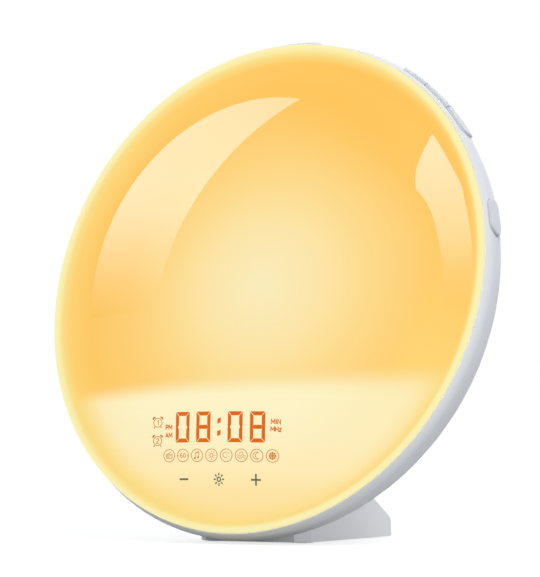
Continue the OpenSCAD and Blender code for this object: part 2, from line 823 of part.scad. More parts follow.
// White bowl: back, side, rim, carriers for the boards and the openings in them
module rear_housing() {
    color([0.93, 0.93, 0.95]) head_frame() difference() {
        union() {
            rotate_extrude() {
                difference() {
                    housing_2d(0);
                    housing_2d(housing_wall);
                    translate([0, -lip_depth - 1]) square([mouth_r, lip_depth + 2]);
                }
                intersection() {
                    housing_2d(housing_wall / 2);
                    translate([rib_in, -housing_depth])
                        square([rib_wall, housing_depth - seat_depth]);
                }
            }
            housing_posts();
            speaker_ring();
        }
        for (span = SLOTS) key_prism(span, slot_gap);
        housing_holes();
    }
}

// A round post that grows out of the wall behind it, up to a height
module post(p, radius, top) {
    start = back_z(norm(p) + radius, 0) + 0.25;
    translate([p[0], p[1], start]) cylinder(r = radius, h = top - start, $fn = 64);
}

module housing_posts() {
    for (p = LAMP_SCREW_PLACES) post(p, screw_r + 2, led_top - board_t);
    for (p = MAIN_SCREWS) post(p, screw_r + 2, main_back);
    for (p = LUG_PLACES) post(p, screw_r + 1.4, speaker_seat);
    for (side = [-1, 1]) post([side * screw_x, stand_screw_y], head_of_screw + 0.5, stand_screw_seat);
    post([jack_x, jack_y], jack_r + 1.4, jack_face + 3);
}

// Ring that the loudspeaker's flange sits on
module speaker_ring() {
    start = back_z(speaker_y + speaker_r, 0) + 0.25;
    translate([0, speaker_y, start]) difference() {
        cylinder(r = speaker_r, h = speaker_seat - start);
        translate([0, 0, -1]) cylinder(r = cone_r + 3, h = housing_depth);
    }
}

// Plane on which the heads of the stand's screws rest, inside the back wall
stand_screw_seat = back_z(norm([screw_x, stand_screw_y]) + head_of_screw + 0.5, housing_wall) + 0.3;

module housing_holes() {
    for (p = LAMP_SCREW_PLACES) translate([p[0], p[1], -dish_depth - lamp_screw_len - 0.3])
        cylinder(r = screw_r, h = lamp_screw_len + 1);
    for (p = MAIN_SCREWS) translate([p[0], p[1], main_face - board_screw_len - 0.3])
        cylinder(r = screw_r, h = board_screw_len + 1);
    for (p = LUG_PLACES) translate([p[0], p[1], speaker_seat - speaker_screw_len + basket_t - 0.3])
        cylinder(r = speaker_screw_r, h = speaker_screw_len + 1, $fn = 48);
    translate([jack_x, jack_y, -housing_depth - 1]) cylinder(r = jack_r + 0.1, h = housing_depth);
    for (side = [-1, 1]) translate([side * screw_x, stand_screw_y, -housing_depth - 1])
        cylinder(r = screw_r + 0.2, h = housing_depth, $fn = 48);
    grille();
}

// Round field of holes in a hexagonal pattern, in front of the loudspeaker
module grille() {
    reach = cone_r + 0.5;
    rows = floor(reach / (grille_pitch * sqrt(3) / 2));
    for (row = [-rows : rows]) {
        for (k = [-8 : 8]) {
            x = (k + (abs(row) % 2) / 2) * grille_pitch;
            y = row * grille_pitch * sqrt(3) / 2;
            if (norm([x, y]) < reach) translate([x, y + speaker_y, -housing_depth - 1])
                cylinder(r = grille_hole_r, h = housing_wall + 4, $fn = 24);
        }
    }
}

// Curved strip that carries the five key switches on the outside of the rib
module key_strip() {
    color([0.75, 0.5, 0.15]) head_frame() sector(strip_from, strip_to)
        translate([rib_out, button_z - strip_w / 2]) square([strip_t, strip_w]);
}

module key_switches() {
    color([0.15, 0.15, 0.16]) head_frame() for (i = [0 : 4]) tact_switch(i);
}

module top_button() { color([0.87, 0.89, 0.92]) head_frame() push_button(0); }
module upper_button() { color([0.87, 0.89, 0.92]) head_frame() push_button(1); }
module middle_button() { color([0.87, 0.89, 0.92]) head_frame() push_button(2); }
module lower_button() { color([0.87, 0.89, 0.92]) head_frame() push_button(3); }
module side_button() { color([0.87, 0.89, 0.92]) head_frame() push_button(4); }

module top_stem() { color([0.8, 0.8, 0.8]) head_frame() switch_stem(0); }
module upper_stem() { color([0.8, 0.8, 0.8]) head_frame() switch_stem(1); }
module middle_stem() { color([0.8, 0.8, 0.8]) head_frame() switch_stem(2); }
module lower_stem() { color([0.8, 0.8, 0.8]) head_frame() switch_stem(3); }
module side_stem() { color([0.8, 0.8, 0.8]) head_frame() switch_stem(4); }

// ---------------------------------------------------------------- loudspeaker

// The loudspeaker faces the back. Its frame: z = 0 on the seat, Z into the clock
module speaker_at() {
    head_frame() translate([0, speaker_y, speaker_seat]) children();
}

basket_back = speaker_depth - magnet_h;
coil_r = magnet_r * 0.45;
coil_gap = 0.4;
speaker_screw_r = 1.1;
speaker_screw_len = 4;

module speaker_frame() {
    color([0.3, 0.3, 0.32]) speaker_at() difference() {
        union() {
            rotate_extrude() polygon([
                [cone_r + 2.4, 0], [speaker_r, 0], [speaker_r, basket_t],
                [speaker_r - 2, basket_t], [magnet_r + 1, basket_back],
                [coil_r + coil_gap + 0.3, basket_back], [coil_r + coil_gap + 0.3, basket_back - basket_t],
                [magnet_r, basket_back - basket_t], [cone_r + 2.4, basket_t]
            ]);
            for (angle = LUGS) at_polar(lug_r, angle) cylinder(r = screw_r + 1.4, h = basket_t, $fn = 48);
            for (angle = LUGS) rotate([0, 0, angle]) translate([speaker_r - 1, -1.5, 0])
                cube([lug_r - speaker_r, 3, basket_t]);
        }
        for (angle = LUGS) at_polar(lug_r, angle) translate([0, 0, -1])
            cylinder(r = speaker_screw_r + 0.1, h = basket_t + 2, $fn = 48);
    }
}

// Magnet cup with its pole in the middle, so that the coil has an open ring to move in
module speaker_magnet() {
    color([0.5, 0.5, 0.52]) speaker_at() rotate_extrude() polygon([
        [0, basket_back - basket_t], [coil_r - coil_gap - 0.3, basket_back - basket_t],
        [coil_r - coil_gap - 0.3, speaker_depth - 1.2], [coil_r + coil_gap + 0.3, speaker_depth - 1.2],
        [coil_r + coil_gap + 0.3, basket_back], [magnet_r, basket_back],
        [magnet_r, speaker_depth], [0, speaker_depth]
    ]);
}

// Rubber roll between the cone and the basket, fixed to the basket's inner edge
module speaker_surround() {
    color([0.1, 0.1, 0.1]) speaker_at() rotate_extrude() {
        translate([cone_r + 1.3, 0.1]) intersection() {
            difference() {
                circle(r = 1.0, $fn = 48);
                circle(r = 0.5, $fn = 48);
            }
            translate([-2, 0]) square([4, 2]);
        }
        translate([cone_r + 1.8, 0.1]) square([0.6, 0.5]);
    }
}

// Paper cone with its dust cap and coil, moving along the loudspeaker's axis
module speaker_cone() {
    top = basket_back - basket_t - cone_travel - 0.4;
    wall = 0.7;
    color([0.2, 0.2, 0.2]) speaker_at() rotate_extrude() polygon([
        [0, top - wall], [coil_r + 0.2, top - wall], [cone_r, 0.6], [cone_r, 0.6 + wall],
        [coil_r + 0.2, top], [coil_r + 0.2, speaker_depth - 1.2 - cone_travel - 0.3],
        [coil_r - 0.2, speaker_depth - 1.2 - cone_travel - 0.3], [coil_r - 0.2, top], [0, top]
    ]);
}

module speaker_screws() {
    color([0.7, 0.7, 0.72]) speaker_at() for (angle = LUGS) {
        at_polar(lug_r, angle) translate([0, 0, basket_t]) {
            cylinder(r = speaker_screw_r * 2, h = 1.2, $fn = 48);
            translate([0, 0, -speaker_screw_len])
                cylinder(r = speaker_screw_r, h = speaker_screw_len + EPS, $fn = 48);
        }
    }
}

// ---------------------------------------------------------------- power and aerial

// Barrel of the power inlet, soldered to the back of the main board
module power_jack() {
    color([0.1, 0.1, 0.11]) head_frame() translate([jack_x, jack_y, jack_face]) difference() {
        union() {
            cylinder(r = jack_r, h = main_back - jack_face);
            translate([-jack_r, -jack_r, 6]) cube([2 * jack_r, 2 * jack_r, main_back - jack_face - 6]);
        }
        translate([0, 0, -1]) cylinder(r = jack_bore_r, h = main_back - jack_face - 0.4);
    }
}

module jack_pin() {
    color([0.8, 0.7, 0.4]) head_frame() translate([jack_x, jack_y, jack_face + 0.5])
        cylinder(r = jack_pin_r, h = main_back - jack_face - 1.9);
}

// Internal aerial: a wire laid round the outside of the rib, on the side without keys
module aerial_wire() {
    wire_r = 0.5;
    wire_gap = 0.1;
    ends = 12;   // its distance from the key strip's ends, in degrees
    color([0.15, 0.15, 0.15]) head_frame() sector(strip_to + ends, 360 + strip_from - ends)
        translate([rib_out + wire_gap + wire_r, button_z]) circle(r = wire_r, $fn = 24);
}

// ---------------------------------------------------------------- stand

// Outline of the stand seen from above, shrunk by inset
module stand_plan_2d(inset) {
    front = -stand_front + inset;
    rear = stand_rear - inset;
    run = stand_front + stand_rear;
    grow = (stand_rear_w - stand_front_w) / 2 / run;
    c = stand_chamfer;
    w0 = stand_front_w / 2 - inset;
    w1 = w0 + grow * (run - stand_round);
    rr = stand_round - inset;
    cx = w1 - rr;
    cy = stand_rear - stand_round;
    polygon([[-w0 + c, front], [w0 - c, front], [w0 + grow * c, front + c], [w1, cy],
        [cx, cy], [cx, rear], [-cx, rear], [-cx, cy], [-w1, cy], [-w0 - grow * c, front + c]]);
    for (side = [-1, 1]) translate([side * cx, cy]) circle(r = rr);
}

// Outline of the stand seen from the side, as (y, z), shrunk by inset
module stand_side_2d(inset, bottom) {
    r = heel_round - inset;
    t = [heel_y + r * sin(stand_slope), heel_z + r * cos(stand_slope)];
    rise = stand_top - t[1];
    polygon([[-stand_front - 1, bottom], [heel_y, bottom], [heel_y, heel_z], t,
        [t[0] - rise / tan(stand_slope), stand_top], [-stand_front - 1, stand_top]]);
    intersection() {
        translate([heel_y, heel_z]) circle(r = r);
        translate([heel_y - EPS, bottom]) square([heel_round + 5, heel_round + 20]);
    }
    if (bottom < heel_z - r) translate([heel_y - EPS, bottom]) square([r + EPS, heel_z - bottom]);
}

module stand_block(inset, bottom) {
    intersection() {
        linear_extrude(height = stand_top) stand_plan_2d(inset);
        rotate([90, 0, 90]) translate([0, 0, -stand_rear_w])
            linear_extrude(height = 2 * stand_rear_w) stand_side_2d(inset, bottom);
    }
}

// The head's place in the stand's frame
module head_in_stand() {
    translate([0, 0, head_z]) rotate([90 - lean, 0, 0]) children();
}

// Outline of the base plate's recess, seen from above
module base_2d(gap) {
    wall = stand_wall + gap;
    grow = (stand_rear_w - stand_front_w) / 2 / (stand_front + stand_rear);
    near = stand_front_w / 2 - wall + grow * (room_front + stand_front);
    far = stand_front_w / 2 - wall + grow * (stand_front + stand_rear - stand_round);
    rear = stand_rear - wall;
    corner = rear - stand_rear + stand_round;
    polygon([[-near, room_front + gap], [near, room_front + gap], [far, rear - corner],
        [far - corner, rear], [corner - far, rear], [-far, rear - corner]]);
}

// Wedge under the head, with a recess for the base plate. The screws from the head and
// from the plate bite into its thick sides.
module stand() {
    color([0.82, 0.83, 0.84]) stand_frame() difference() {
        difference() {
            difference() {
                stand_block(0, stand_bottom);
                linear_extrude(height = stand_bottom + base_t) base_2d(0);
            }
            head_in_stand() housing_solid(-stand_gap);
        }
        for (side = [-1, 1]) translate([side * FEET_FRONT[0], FEET_FRONT[1], 0])
            cylinder(r = foot_r, h = stand_bottom + foot_sunk);
        for (side = [-1, 1]) translate([side * screw_x, base_screw_y, 0])
            cylinder(r = screw_r, h = stand_bottom + base_t + base_screw_len);
        head_in_stand() for (side = [-1, 1]) translate([side * screw_x, stand_screw_y,
            stand_screw_seat - stand_screw_len - 0.3]) cylinder(r = screw_r, h = stand_screw_len + 1);
    }
}

// Plate in the stand's underside, with two of the feet
module stand_base() {
    color([0.3, 0.3, 0.32]) stand_frame() difference() {
        translate([0, 0, stand_bottom]) linear_extrude(height = base_t) base_2d(fit_gap / 2);
        for (side = [-1, 1]) {
            translate([side * FEET_REAR[0], FEET_REAR[1], 0])
                cylinder(r = foot_r, h = stand_bottom + foot_sunk);
            translate([side * screw_x, base_screw_y, 0]) cylinder(r = screw_r + 0.2, h = 10);
        }
    }
}

module stand_feet() {
    color([0.15, 0.15, 0.15]) stand_frame() for (side = [-1, 1]) {
        translate([side * FEET_FRONT[0], FEET_FRONT[1], 0]) cylinder(r = foot_r, h = foot_proud + foot_sunk);
        translate([side * FEET_REAR[0], FEET_REAR[1], 0]) cylinder(r = foot_r, h = foot_proud + foot_sunk);
    }
}

// Screws from inside the housing into the stand
module stand_screws() {
    color([0.7, 0.7, 0.72]) head_frame() for (side = [-1, 1]) {
        translate([side * screw_x, stand_screw_y, stand_screw_seat]) screw(stand_screw_len);
    }
}

// Screws that hold the base plate, from below
module base_screws() {
    color([0.7, 0.7, 0.72]) stand_frame() for (side = [-1, 1]) {
        translate([side * screw_x, base_screw_y, stand_bottom])
            cylinder(r = screw_r, h = base_t + base_screw_len - 0.3);
    }
}

front_lens();
lit_segments();
symbol_windows();
touch_key_prints();
light_reflector();
light_baffle();
led_board();
lamp_leds();
lamp_screws();
display_frame();
display_leds();
touch_pads();
main_board();
board_chips();
board_screws();
cell_holder();
backup_cell();
rear_housing();
key_strip();
key_switches();
top_button();
upper_button();
middle_button();
lower_button();
side_button();
top_stem();
upper_stem();
middle_stem();
lower_stem();
side_stem();
speaker_frame();
speaker_magnet();
speaker_surround();
speaker_cone();
speaker_screws();
power_jack();
jack_pin();
aerial_wire();
stand();
stand_base();
stand_feet();
stand_screws();
base_screws();
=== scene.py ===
"""Looks of the sunrise alarm clock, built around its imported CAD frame. Lengths are metres,
and the head's own shapes are drawn in millimetres in the plane of its face."""

import math

import bmesh
import bpy
import numpy as np
from mathutils import Matrix, Vector

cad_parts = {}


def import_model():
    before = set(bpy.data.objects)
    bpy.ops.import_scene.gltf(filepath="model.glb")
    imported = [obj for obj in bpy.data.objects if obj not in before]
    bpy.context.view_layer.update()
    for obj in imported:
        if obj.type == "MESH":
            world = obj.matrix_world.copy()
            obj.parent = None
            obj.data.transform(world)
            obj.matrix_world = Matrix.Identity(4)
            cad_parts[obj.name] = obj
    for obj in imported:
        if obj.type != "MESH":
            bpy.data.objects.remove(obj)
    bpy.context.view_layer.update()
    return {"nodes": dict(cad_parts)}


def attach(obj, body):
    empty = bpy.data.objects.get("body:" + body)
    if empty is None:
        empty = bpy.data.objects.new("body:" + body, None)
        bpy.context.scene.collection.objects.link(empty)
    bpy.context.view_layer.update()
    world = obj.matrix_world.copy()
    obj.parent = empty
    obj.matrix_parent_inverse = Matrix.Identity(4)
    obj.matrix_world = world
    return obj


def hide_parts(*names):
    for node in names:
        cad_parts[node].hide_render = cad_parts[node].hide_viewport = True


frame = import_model()

# ------------------------------------------------------------------ sizes
# Those of the CAD solids, in millimetres, in the frame of the head's face: x to the right,
# y up the face and z out of it, from the middle of the rim. The face leans back by LEAN degrees.
LEAN = 14.6
HEAD_R, WAIST, BACK_ROUND, BACK_H = 87.5, 3.35, 19.2, 30.0
FLOOR_GAP = 0.75
LENS_R, LENS_ROUND, LENS_SHOULDER, LENS_H, LENS_WALL = 86.0, 4.4, 1.5, 18.9, 2.2
LIP_OUT, LIP_WALL, LIP_DEPTH = 83.7, 2.0, 1.2
BAFFLE_Y = 38.0                          # the light baffle lies this far below the middle
SPEAKER_Y, LUG_CIRCLE = 14.0, 22.0
DIGIT_H, DIGIT_W, STROKE, SEGMENT_GAP = 10.0, 5.8, 1.3, 0.22
DIGITS_TOP, PAIR_X, DIGIT_PITCH = -47.9, 10.75, 8.7
COLON_APART, COLON_DROP = 2.0, 0.25      # its dots from their middle, and that below the digits'
SYMBOLS_Y, SYMBOL_PITCH, SYMBOL_R = -62.1, 5.95, 2.3


def cap_radius(a, b, r, h):
    """Radius of the cap that touches a round of radius r at (a, b) and reaches height h."""
    return (a * a + (h - b) ** 2 - r * r) / (2 * ((h - b) - r))


BACK_CORE = HEAD_R - BACK_ROUND
LENS_CORE = LENS_R - LENS_ROUND
LENS_CAP = cap_radius(LENS_CORE, LENS_SHOULDER, LENS_ROUND, LENS_H)
SIN, COS = math.sin(math.radians(LEAN)), math.cos(math.radians(LEAN))
HEAD_Z = FLOOR_GAP + BACK_CORE * COS + WAIST * SIN + BACK_ROUND
HEAD_Y = ((LENS_H - LENS_CAP) * COS + LENS_CAP - BACK_CORE * SIN - WAIST * COS - BACK_ROUND) / 2


def world(x, y, z):
    """A point of the face's frame, in millimetres, as a point of the part's frame, in metres."""
    return Vector((x, HEAD_Y + y * SIN - z * COS, HEAD_Z + y * COS + z * SIN)) / 1000


def direction(azimuth, elevation):
    """Unit vector towards a place seen from the head: azimuth 0 is in front, 90 at the right."""
    a, e = math.radians(azimuth), math.radians(elevation)
    return Vector((math.sin(a) * math.cos(e), -math.cos(a) * math.cos(e), math.sin(e)))


def dome(x, y):
    """The lens's outer surface over a point of the face, and its normal there."""
    r = math.hypot(x, y)
    if r <= LENS_CORE * LENS_CAP / (LENS_CAP - LENS_ROUND):
        z = LENS_H - LENS_CAP + math.sqrt(LENS_CAP * LENS_CAP - r * r)
        root = world(0, 0, LENS_H - LENS_CAP)
    else:
        z = LENS_SHOULDER + math.sqrt(LENS_ROUND ** 2 - (r - LENS_CORE) ** 2)
        root = world(x / r * LENS_CORE, y / r * LENS_CORE, LENS_SHOULDER)
    return z, (world(x, y, z) - root).normalized()


# ------------------------------------------------------------------ materials
def srgb(r, g, b, less=0.0):
    """Linear colour of an 8-bit display colour, less a part that the room adds to it."""
    out = []
    for v in (r, g, b):
        v /= 255
        v = v / 12.92 if v <= 0.04045 else ((v + 0.055) / 1.055) ** 2.4
        out.append(max(v - less, 0.0))
    return (*out, 1.0)


class Nodes:
    """Shorthand for one material's nodes."""

    def __init__(self, name):
        self.mat = bpy.data.materials.new(name)
        self.mat.use_nodes = True
        self.tree = self.mat.node_tree
        self.shader = self.tree.nodes["Principled BSDF"]

    def add(self, kind, **settings):
        node = self.tree.nodes.new(kind)
        for key, value in settings.items():
            setattr(node, key, value)
        return node

    def link(self, out, into):
        self.tree.links.new(out, into)

    def fill(self, socket, value):
        """A socket's value, or what feeds it."""
        if isinstance(value, (int, float, tuple, list)):
            socket.default_value = value
        else:
            self.link(value, socket)

    def coordinates(self):
        return self.add("ShaderNodeTexCoord").outputs["Object"]

    def face(self):
        """Millimetres in the face's frame, from where the surface is on the object."""
        node = self.add("ShaderNodeMapping", vector_type="TEXTURE")
        node.inputs["Location"].default_value = (0, HEAD_Y / 1000, HEAD_Z / 1000)
        node.inputs["Rotation"].default_value = (math.radians(90 - LEAN), 0, 0)
        node.inputs["Scale"].default_value = (0.001, 0.001, 0.001)
        self.link(self.coordinates(), node.inputs["Vector"])
        return self.split(node.outputs["Vector"])

    def math(self, operation, a, b=0.0):
        node = self.add("ShaderNodeMath", operation=operation)
        self.fill(node.inputs[0], a)
        self.fill(node.inputs[1], b)
        return node.outputs[0]

    def length(self, a, b):
        """Root of a squared and b squared."""
        return self.math("SQRT", self.math("ADD", self.math("MULTIPLY", a, a), self.math("MULTIPLY", b, b)))

    def split(self, vector):
        node = self.add("ShaderNodeSeparateXYZ")
        self.link(vector, node.inputs[0])
        return node.outputs

    def ramp(self, factor, stops):
        """A colour ramp from (place, colour) stops."""
        node = self.add("ShaderNodeValToRGB")
        ramp = node.color_ramp
        while len(ramp.elements) < len(stops):
            ramp.elements.new(0.5)
        for element, (place, colour) in zip(ramp.elements, stops):
            element.position = place
            element.color = colour
        self.link(factor, node.inputs["Fac"])
        return node.outputs["Color"]

    def mix(self, factor, a, b):
        node = self.add("ShaderNodeMix", data_type="RGBA")
        self.fill(node.inputs["Factor"], factor)
        self.fill(node.inputs[6], a)
        self.fill(node.inputs[7], b)
        return node.outputs[2]

    def noise(self, scale, detail, stretch=None):
        node = self.add("ShaderNodeTexNoise")
        node.inputs["Scale"].default_value = scale
        node.inputs["Detail"].default_value = detail
        place = self.coordinates()
        if stretch:
            mapping = self.add("ShaderNodeMapping")
            mapping.inputs["Scale"].default_value = stretch
            self.link(place, mapping.inputs["Vector"])
            place = mapping.outputs["Vector"]
        self.link(place, node.inputs["Vector"])
        return node.outputs["Fac"]

    def bump(self, height, strength, distance):
        node = self.add("ShaderNodeBump")
        node.inputs["Strength"].default_value = strength
        node.inputs["Distance"].default_value = distance
        self.link(height, node.inputs["Height"])
        self.link(node.outputs["Normal"], self.shader.inputs["Normal"])

    def range(self, value, low, high):
        node = self.add("ShaderNodeMapRange")
        node.inputs["To Min"].default_value = low
        node.inputs["To Max"].default_value = high
        self.link(value, node.inputs["Value"])
        return node.outputs[0]

    def step(self, value, low, high):
        """0 below low, 1 above high, and a smooth rise between them."""
        node = self.add("ShaderNodeMapRange", interpolation_type="SMOOTHSTEP")
        node.inputs["From Min"].default_value = low
        node.inputs["From Max"].default_value = high
        self.link(value, node.inputs["Value"])
        return node.outputs[0]


DRIFT_SCALE, DRIFT = 13.0, (0.35, 0.65)  # of the tone's slow drift
ROUGH_DRIFT, SKIN_DEPTH = 0.12, 0.00003  # share of the roughness, and metres


def surface(name, colour, rough, metallic, spread=0.03, grain=320.0, bump=0.04, gloss=0.5,
            stretch=None):
    """Moulded plastic, rubber, paper or metal: a slow drift of tone and a fine skin."""
    n = Nodes(name)
    low = tuple(c * (1 - spread) for c in colour[:3]) + (1,)
    high = tuple(min(c * (1 + spread), 1) for c in colour[:3]) + (1,)
    drift = n.ramp(n.noise(DRIFT_SCALE, 4.0), list(zip(DRIFT, (low, high))))
    n.link(drift, n.shader.inputs["Base Color"])
    fine = n.noise(grain, 2.0, stretch)
    rough_range = n.range(fine, rough * (1 - ROUGH_DRIFT), rough * (1 + ROUGH_DRIFT))
    n.link(rough_range, n.shader.inputs["Roughness"])
    n.bump(fine, bump, SKIN_DEPTH)
    n.shader.inputs["Metallic"].default_value = metallic
    n.shader.inputs["Specular IOR Level"].default_value = gloss
    return n.mat


def glowing(name, colour, strength, base):
    """Ink that is lit from behind."""
    n = Nodes(name)
    low = tuple(c * 0.93 for c in colour[:3]) + (1,)
    n.link(n.ramp(n.noise(420.0, 2.0), [(0.3, low), (0.7, colour)]), n.shader.inputs["Emission Color"])
    n.shader.inputs["Emission Strength"].default_value = strength
    n.shader.inputs["Base Color"].default_value = base
    n.shader.inputs["Roughness"].default_value = 0.4
    n.shader.inputs["Specular IOR Level"].default_value = 0.05
    n.mat.cycles.emission_sampling = "NONE"
    return n.mat


# Colours of the lit lens, less what the room's light adds to it: away from the glow's middle,
# down the pale zone, along the band inside the edge, whose brighter part at the upper left is a
# painted soft glow around the left reflection, and across the bright rolled edge
ROOM = 0.02
GLOW_STOPS = [
    (0.00, srgb(249, 236, 188, ROOM)),
    (0.18, srgb(251, 230, 172, ROOM)),
    (0.27, srgb(252, 227, 162, ROOM)),
    (0.39, srgb(252, 219, 142, ROOM)),
    (0.50, srgb(253, 212, 127, ROOM)),
    (0.62, srgb(253, 206, 113, ROOM)),
    (0.82, srgb(253, 200, 98, ROOM)),
]
PALE_STOPS = [
    (0.40, srgb(251, 232, 178, ROOM)),
    (0.47, srgb(253, 243, 198, ROOM)),
    (0.62, srgb(252, 242, 200, ROOM)),
    (0.74, srgb(254, 239, 192, ROOM)),
    (0.80, srgb(254, 232, 176, ROOM)),
    (0.90, srgb(253, 225, 160, ROOM)),
]
BAND_AND_HALO_STOPS = [
    (0.0, srgb(254, 207, 108, ROOM)),
    (0.45, srgb(254, 213, 118, ROOM)),
    (0.62, srgb(254, 206, 107, ROOM)),
    (0.85, srgb(254, 200, 98, ROOM)),
    (0.95, srgb(254, 196, 89, ROOM)),
]
EDGE_STOPS = [
    (0.10, srgb(250, 241, 180, ROOM)),
    (0.38, srgb(252, 235, 165, ROOM)),
    (0.54, srgb(249, 225, 145, ROOM)),
    (0.72, srgb(250, 219, 130, ROOM)),
]
DEEP, LOWER_BAND = srgb(254, 192, 78, ROOM), srgb(252, 221, 137, ROOM)
CLOUD = srgb(255, 240, 200)

# Places on the lens, in millimetres of the face's frame. The warm glow has its middle at GLOW,
# and deepens from DEEPENS[0] to DEEPENS[1] along ACROSS, towards the upper right.
GLOW, GLOW_SQUEEZE, GLOW_END = (13.0, -6.0), 0.96, 90.0
ACROSS, DEEPENS = (0.5, 0.866), (40.0, 85.0)
# The band starts at the outer edge of the left reflection. Its brighter part at the upper left is a painted
# glow of that reflection, over the lamp's own band.
BAND_FROM, BAND_SHIFT, BAND_SPAN = (63.0, 76.0), 60.0, 150.0
# The rolled edge glows up to EDGE_HEIGHT over the rim. That height falls, and bends, along
# EDGE_SIDE, which points to the lower right: by EDGE_FALL + EDGE_BEND at EDGE_HALF from the
# middle. Its own ramp starts EDGE_BELOW under that border.
EDGE_SIDE, EDGE_HALF, EDGE_HEIGHT = (0.9063, 0.4226), 84.0, 5.65
EDGE_FALL, EDGE_BEND, EDGE_BLEND = 2.0, 0.55, 1.6
EDGE_RAMP, EDGE_BELOW, EDGE_BELOW_FALL = 2.4, 1.2, 0.45
# The pale zone under the baffle: a border with a slight tilt about TILT_X, a fade towards the
# edge, and a lower band whose width is REACH[0] w2 - REACH[1] w + REACH[2], with w = x / EDGE_HALF
PALE_END, BORDER_SOFT, TILT, TILT_X = 90.0, 4.0, 0.05, 10.0
PALE_FADE, PALE_FADE_SHARE = (50.0, 76.0), 0.24
REACH, REACH_START = (2.6, 0.5, 2.3), 0.6


def lens_material():
    """Frosted diffuser, lit from behind, under a glossy skin."""
    n = Nodes("lens_lit")
    x, y, z = n.face()
    from_middle = n.length(x, y)
    glow = n.length(n.math("MULTIPLY", n.math("SUBTRACT", x, GLOW[0]), GLOW_SQUEEZE),
                    n.math("SUBTRACT", y, GLOW[1]))
    warm = n.ramp(n.math("DIVIDE", glow, GLOW_END), GLOW_STOPS)
    # deeper towards the upper right, and along a band inside the edge, which is brighter at the
    # upper left where a painted glow around the left reflection lies over the lamp's own band
    across = n.math("ADD", n.math("MULTIPLY", x, ACROSS[0]), n.math("MULTIPLY", y, ACROSS[1]))
    warm = n.mix(n.step(across, *DEEPENS), warm, DEEP)
    band = n.ramp(n.math("DIVIDE", n.math("ADD", across, BAND_SHIFT), BAND_SPAN), BAND_AND_HALO_STOPS)
    warm = n.mix(n.step(from_middle, *BAND_FROM), warm, band)
    # height over the inner border of the rolled edge, which is lowest at the lower right
    side = n.math("SUBTRACT", n.math("MULTIPLY", x, EDGE_SIDE[0]), n.math("MULTIPLY", y, EDGE_SIDE[1]))
    side = n.math("DIVIDE", side, EDGE_HALF)
    bend = n.math("MULTIPLY", n.math("MULTIPLY", side, side), EDGE_BEND)
    lift = n.math("ADD", n.math("MULTIPLY", side, EDGE_FALL), bend)
    height = n.math("ADD", n.math("SUBTRACT", z, EDGE_HEIGHT), lift)
    # pale zone below the baffle, with its own softer band
    down = n.math("MULTIPLY", y, -1.0)
    wide = n.math("DIVIDE", x, EDGE_HALF)
    reach = n.math("SUBTRACT", n.math("MULTIPLY", wide, REACH[0]), REACH[1])
    reach = n.math("ADD", n.math("MULTIPLY", wide, reach), REACH[2])
    inside = n.step(n.math("DIVIDE", n.math("SUBTRACT", height, REACH_START), reach), 0.0, 1.0)
    pale = n.ramp(n.math("DIVIDE", down, PALE_END), PALE_STOPS)
    fade = n.math("MULTIPLY", n.step(from_middle, *PALE_FADE), PALE_FADE_SHARE)
    pale = n.mix(fade, pale, LOWER_BAND)
    pale = n.mix(inside, LOWER_BAND, pale)
    tilted = n.math("ADD", down, n.math("MULTIPLY", n.math("SUBTRACT", x, TILT_X), TILT))
    colour = n.mix(n.step(tilted, BAFFLE_Y - BORDER_SOFT, BAFFLE_Y + BORDER_SOFT), warm, pale)
    # the rolled edge itself, and a faint cloudiness over all
    below = n.math("SUBTRACT", EDGE_BELOW, n.math("MULTIPLY", side, EDGE_BELOW_FALL))
    rolled = n.ramp(n.math("DIVIDE", n.math("ADD", height, below), EDGE_RAMP), EDGE_STOPS)
    colour = n.mix(n.step(height, 0.0, EDGE_BLEND), rolled, colour)
    colour = n.mix(n.range(n.noise(9.0, 2.0), 0.0, 0.05), colour, CLOUD)
    n.link(colour, n.shader.inputs["Emission Color"])
    n.link(n.mix(0.95, colour, (0, 0, 0, 1)), n.shader.inputs["Base Color"])
    for socket, value in (("Emission Strength", 0.985), ("Roughness", 0.5), ("Specular IOR Level", 0.0),
                          ("Coat Weight", 0.3), ("Coat Roughness", 0.02)):
        n.shader.inputs[socket].default_value = value
    n.bump(n.noise(160.0, 2.0), 0.01, 0.00002)
    n.mat.cycles.emission_sampling = "NONE"
    return n.mat


# ------------------------------------------------------------------ mesh helpers
def new_object(name, verts, faces, material):
    mesh = bpy.data.meshes.new(name)
    mesh.from_pydata([tuple(v) for v in verts], [], faces)
    mesh.validate()
    obj = bpy.data.objects.new(name, mesh)
    bpy.context.scene.collection.objects.link(obj)
    mesh.materials.append(material)
    return obj


def smooth_by_angle(obj, degrees):
    """Keeps edges sharper than an angle sharp, and smooths the rest."""
    bm = bmesh.new()
    bm.from_mesh(obj.data)
    bmesh.ops.recalc_face_normals(bm, faces=bm.faces)
    limit = math.radians(degrees)
    for edge in bm.edges:
        edge.smooth = len(edge.link_faces) == 2 and edge.calc_face_angle(0) < limit
    for face in bm.faces:
        face.smooth = True
    bm.to_mesh(obj.data)
    bm.free()
    return obj


def between(a, b):
    """Faces between two rings of points, where one ring may be a single point."""
    count = len(a)
    return [tuple(dict.fromkeys((a[k], b[k], b[(k + 1) % count], a[(k + 1) % count])))
            for k in range(count)]


def revolve(name, profile, material, segments=288):
    """Ring closed on itself, from a profile of (radius, z) points that starts on the axis
    and ends there, in the face's frame."""
    verts, faces, rings = [], [], []
    for r, z in profile:
        if r < 1e-6:
            rings.append([len(verts)] * segments)
            verts.append(world(0, 0, z))
        else:
            rings.append(list(range(len(verts), len(verts) + segments)))
            for k in range(segments):
                a = 2 * math.pi * k / segments
                verts.append(world(r * math.cos(a), r * math.sin(a), z))
    for a, b in zip(rings, rings[1:]):
        faces += between(a, b)
    return smooth_by_angle(new_object(name, verts, faces, material), 40)


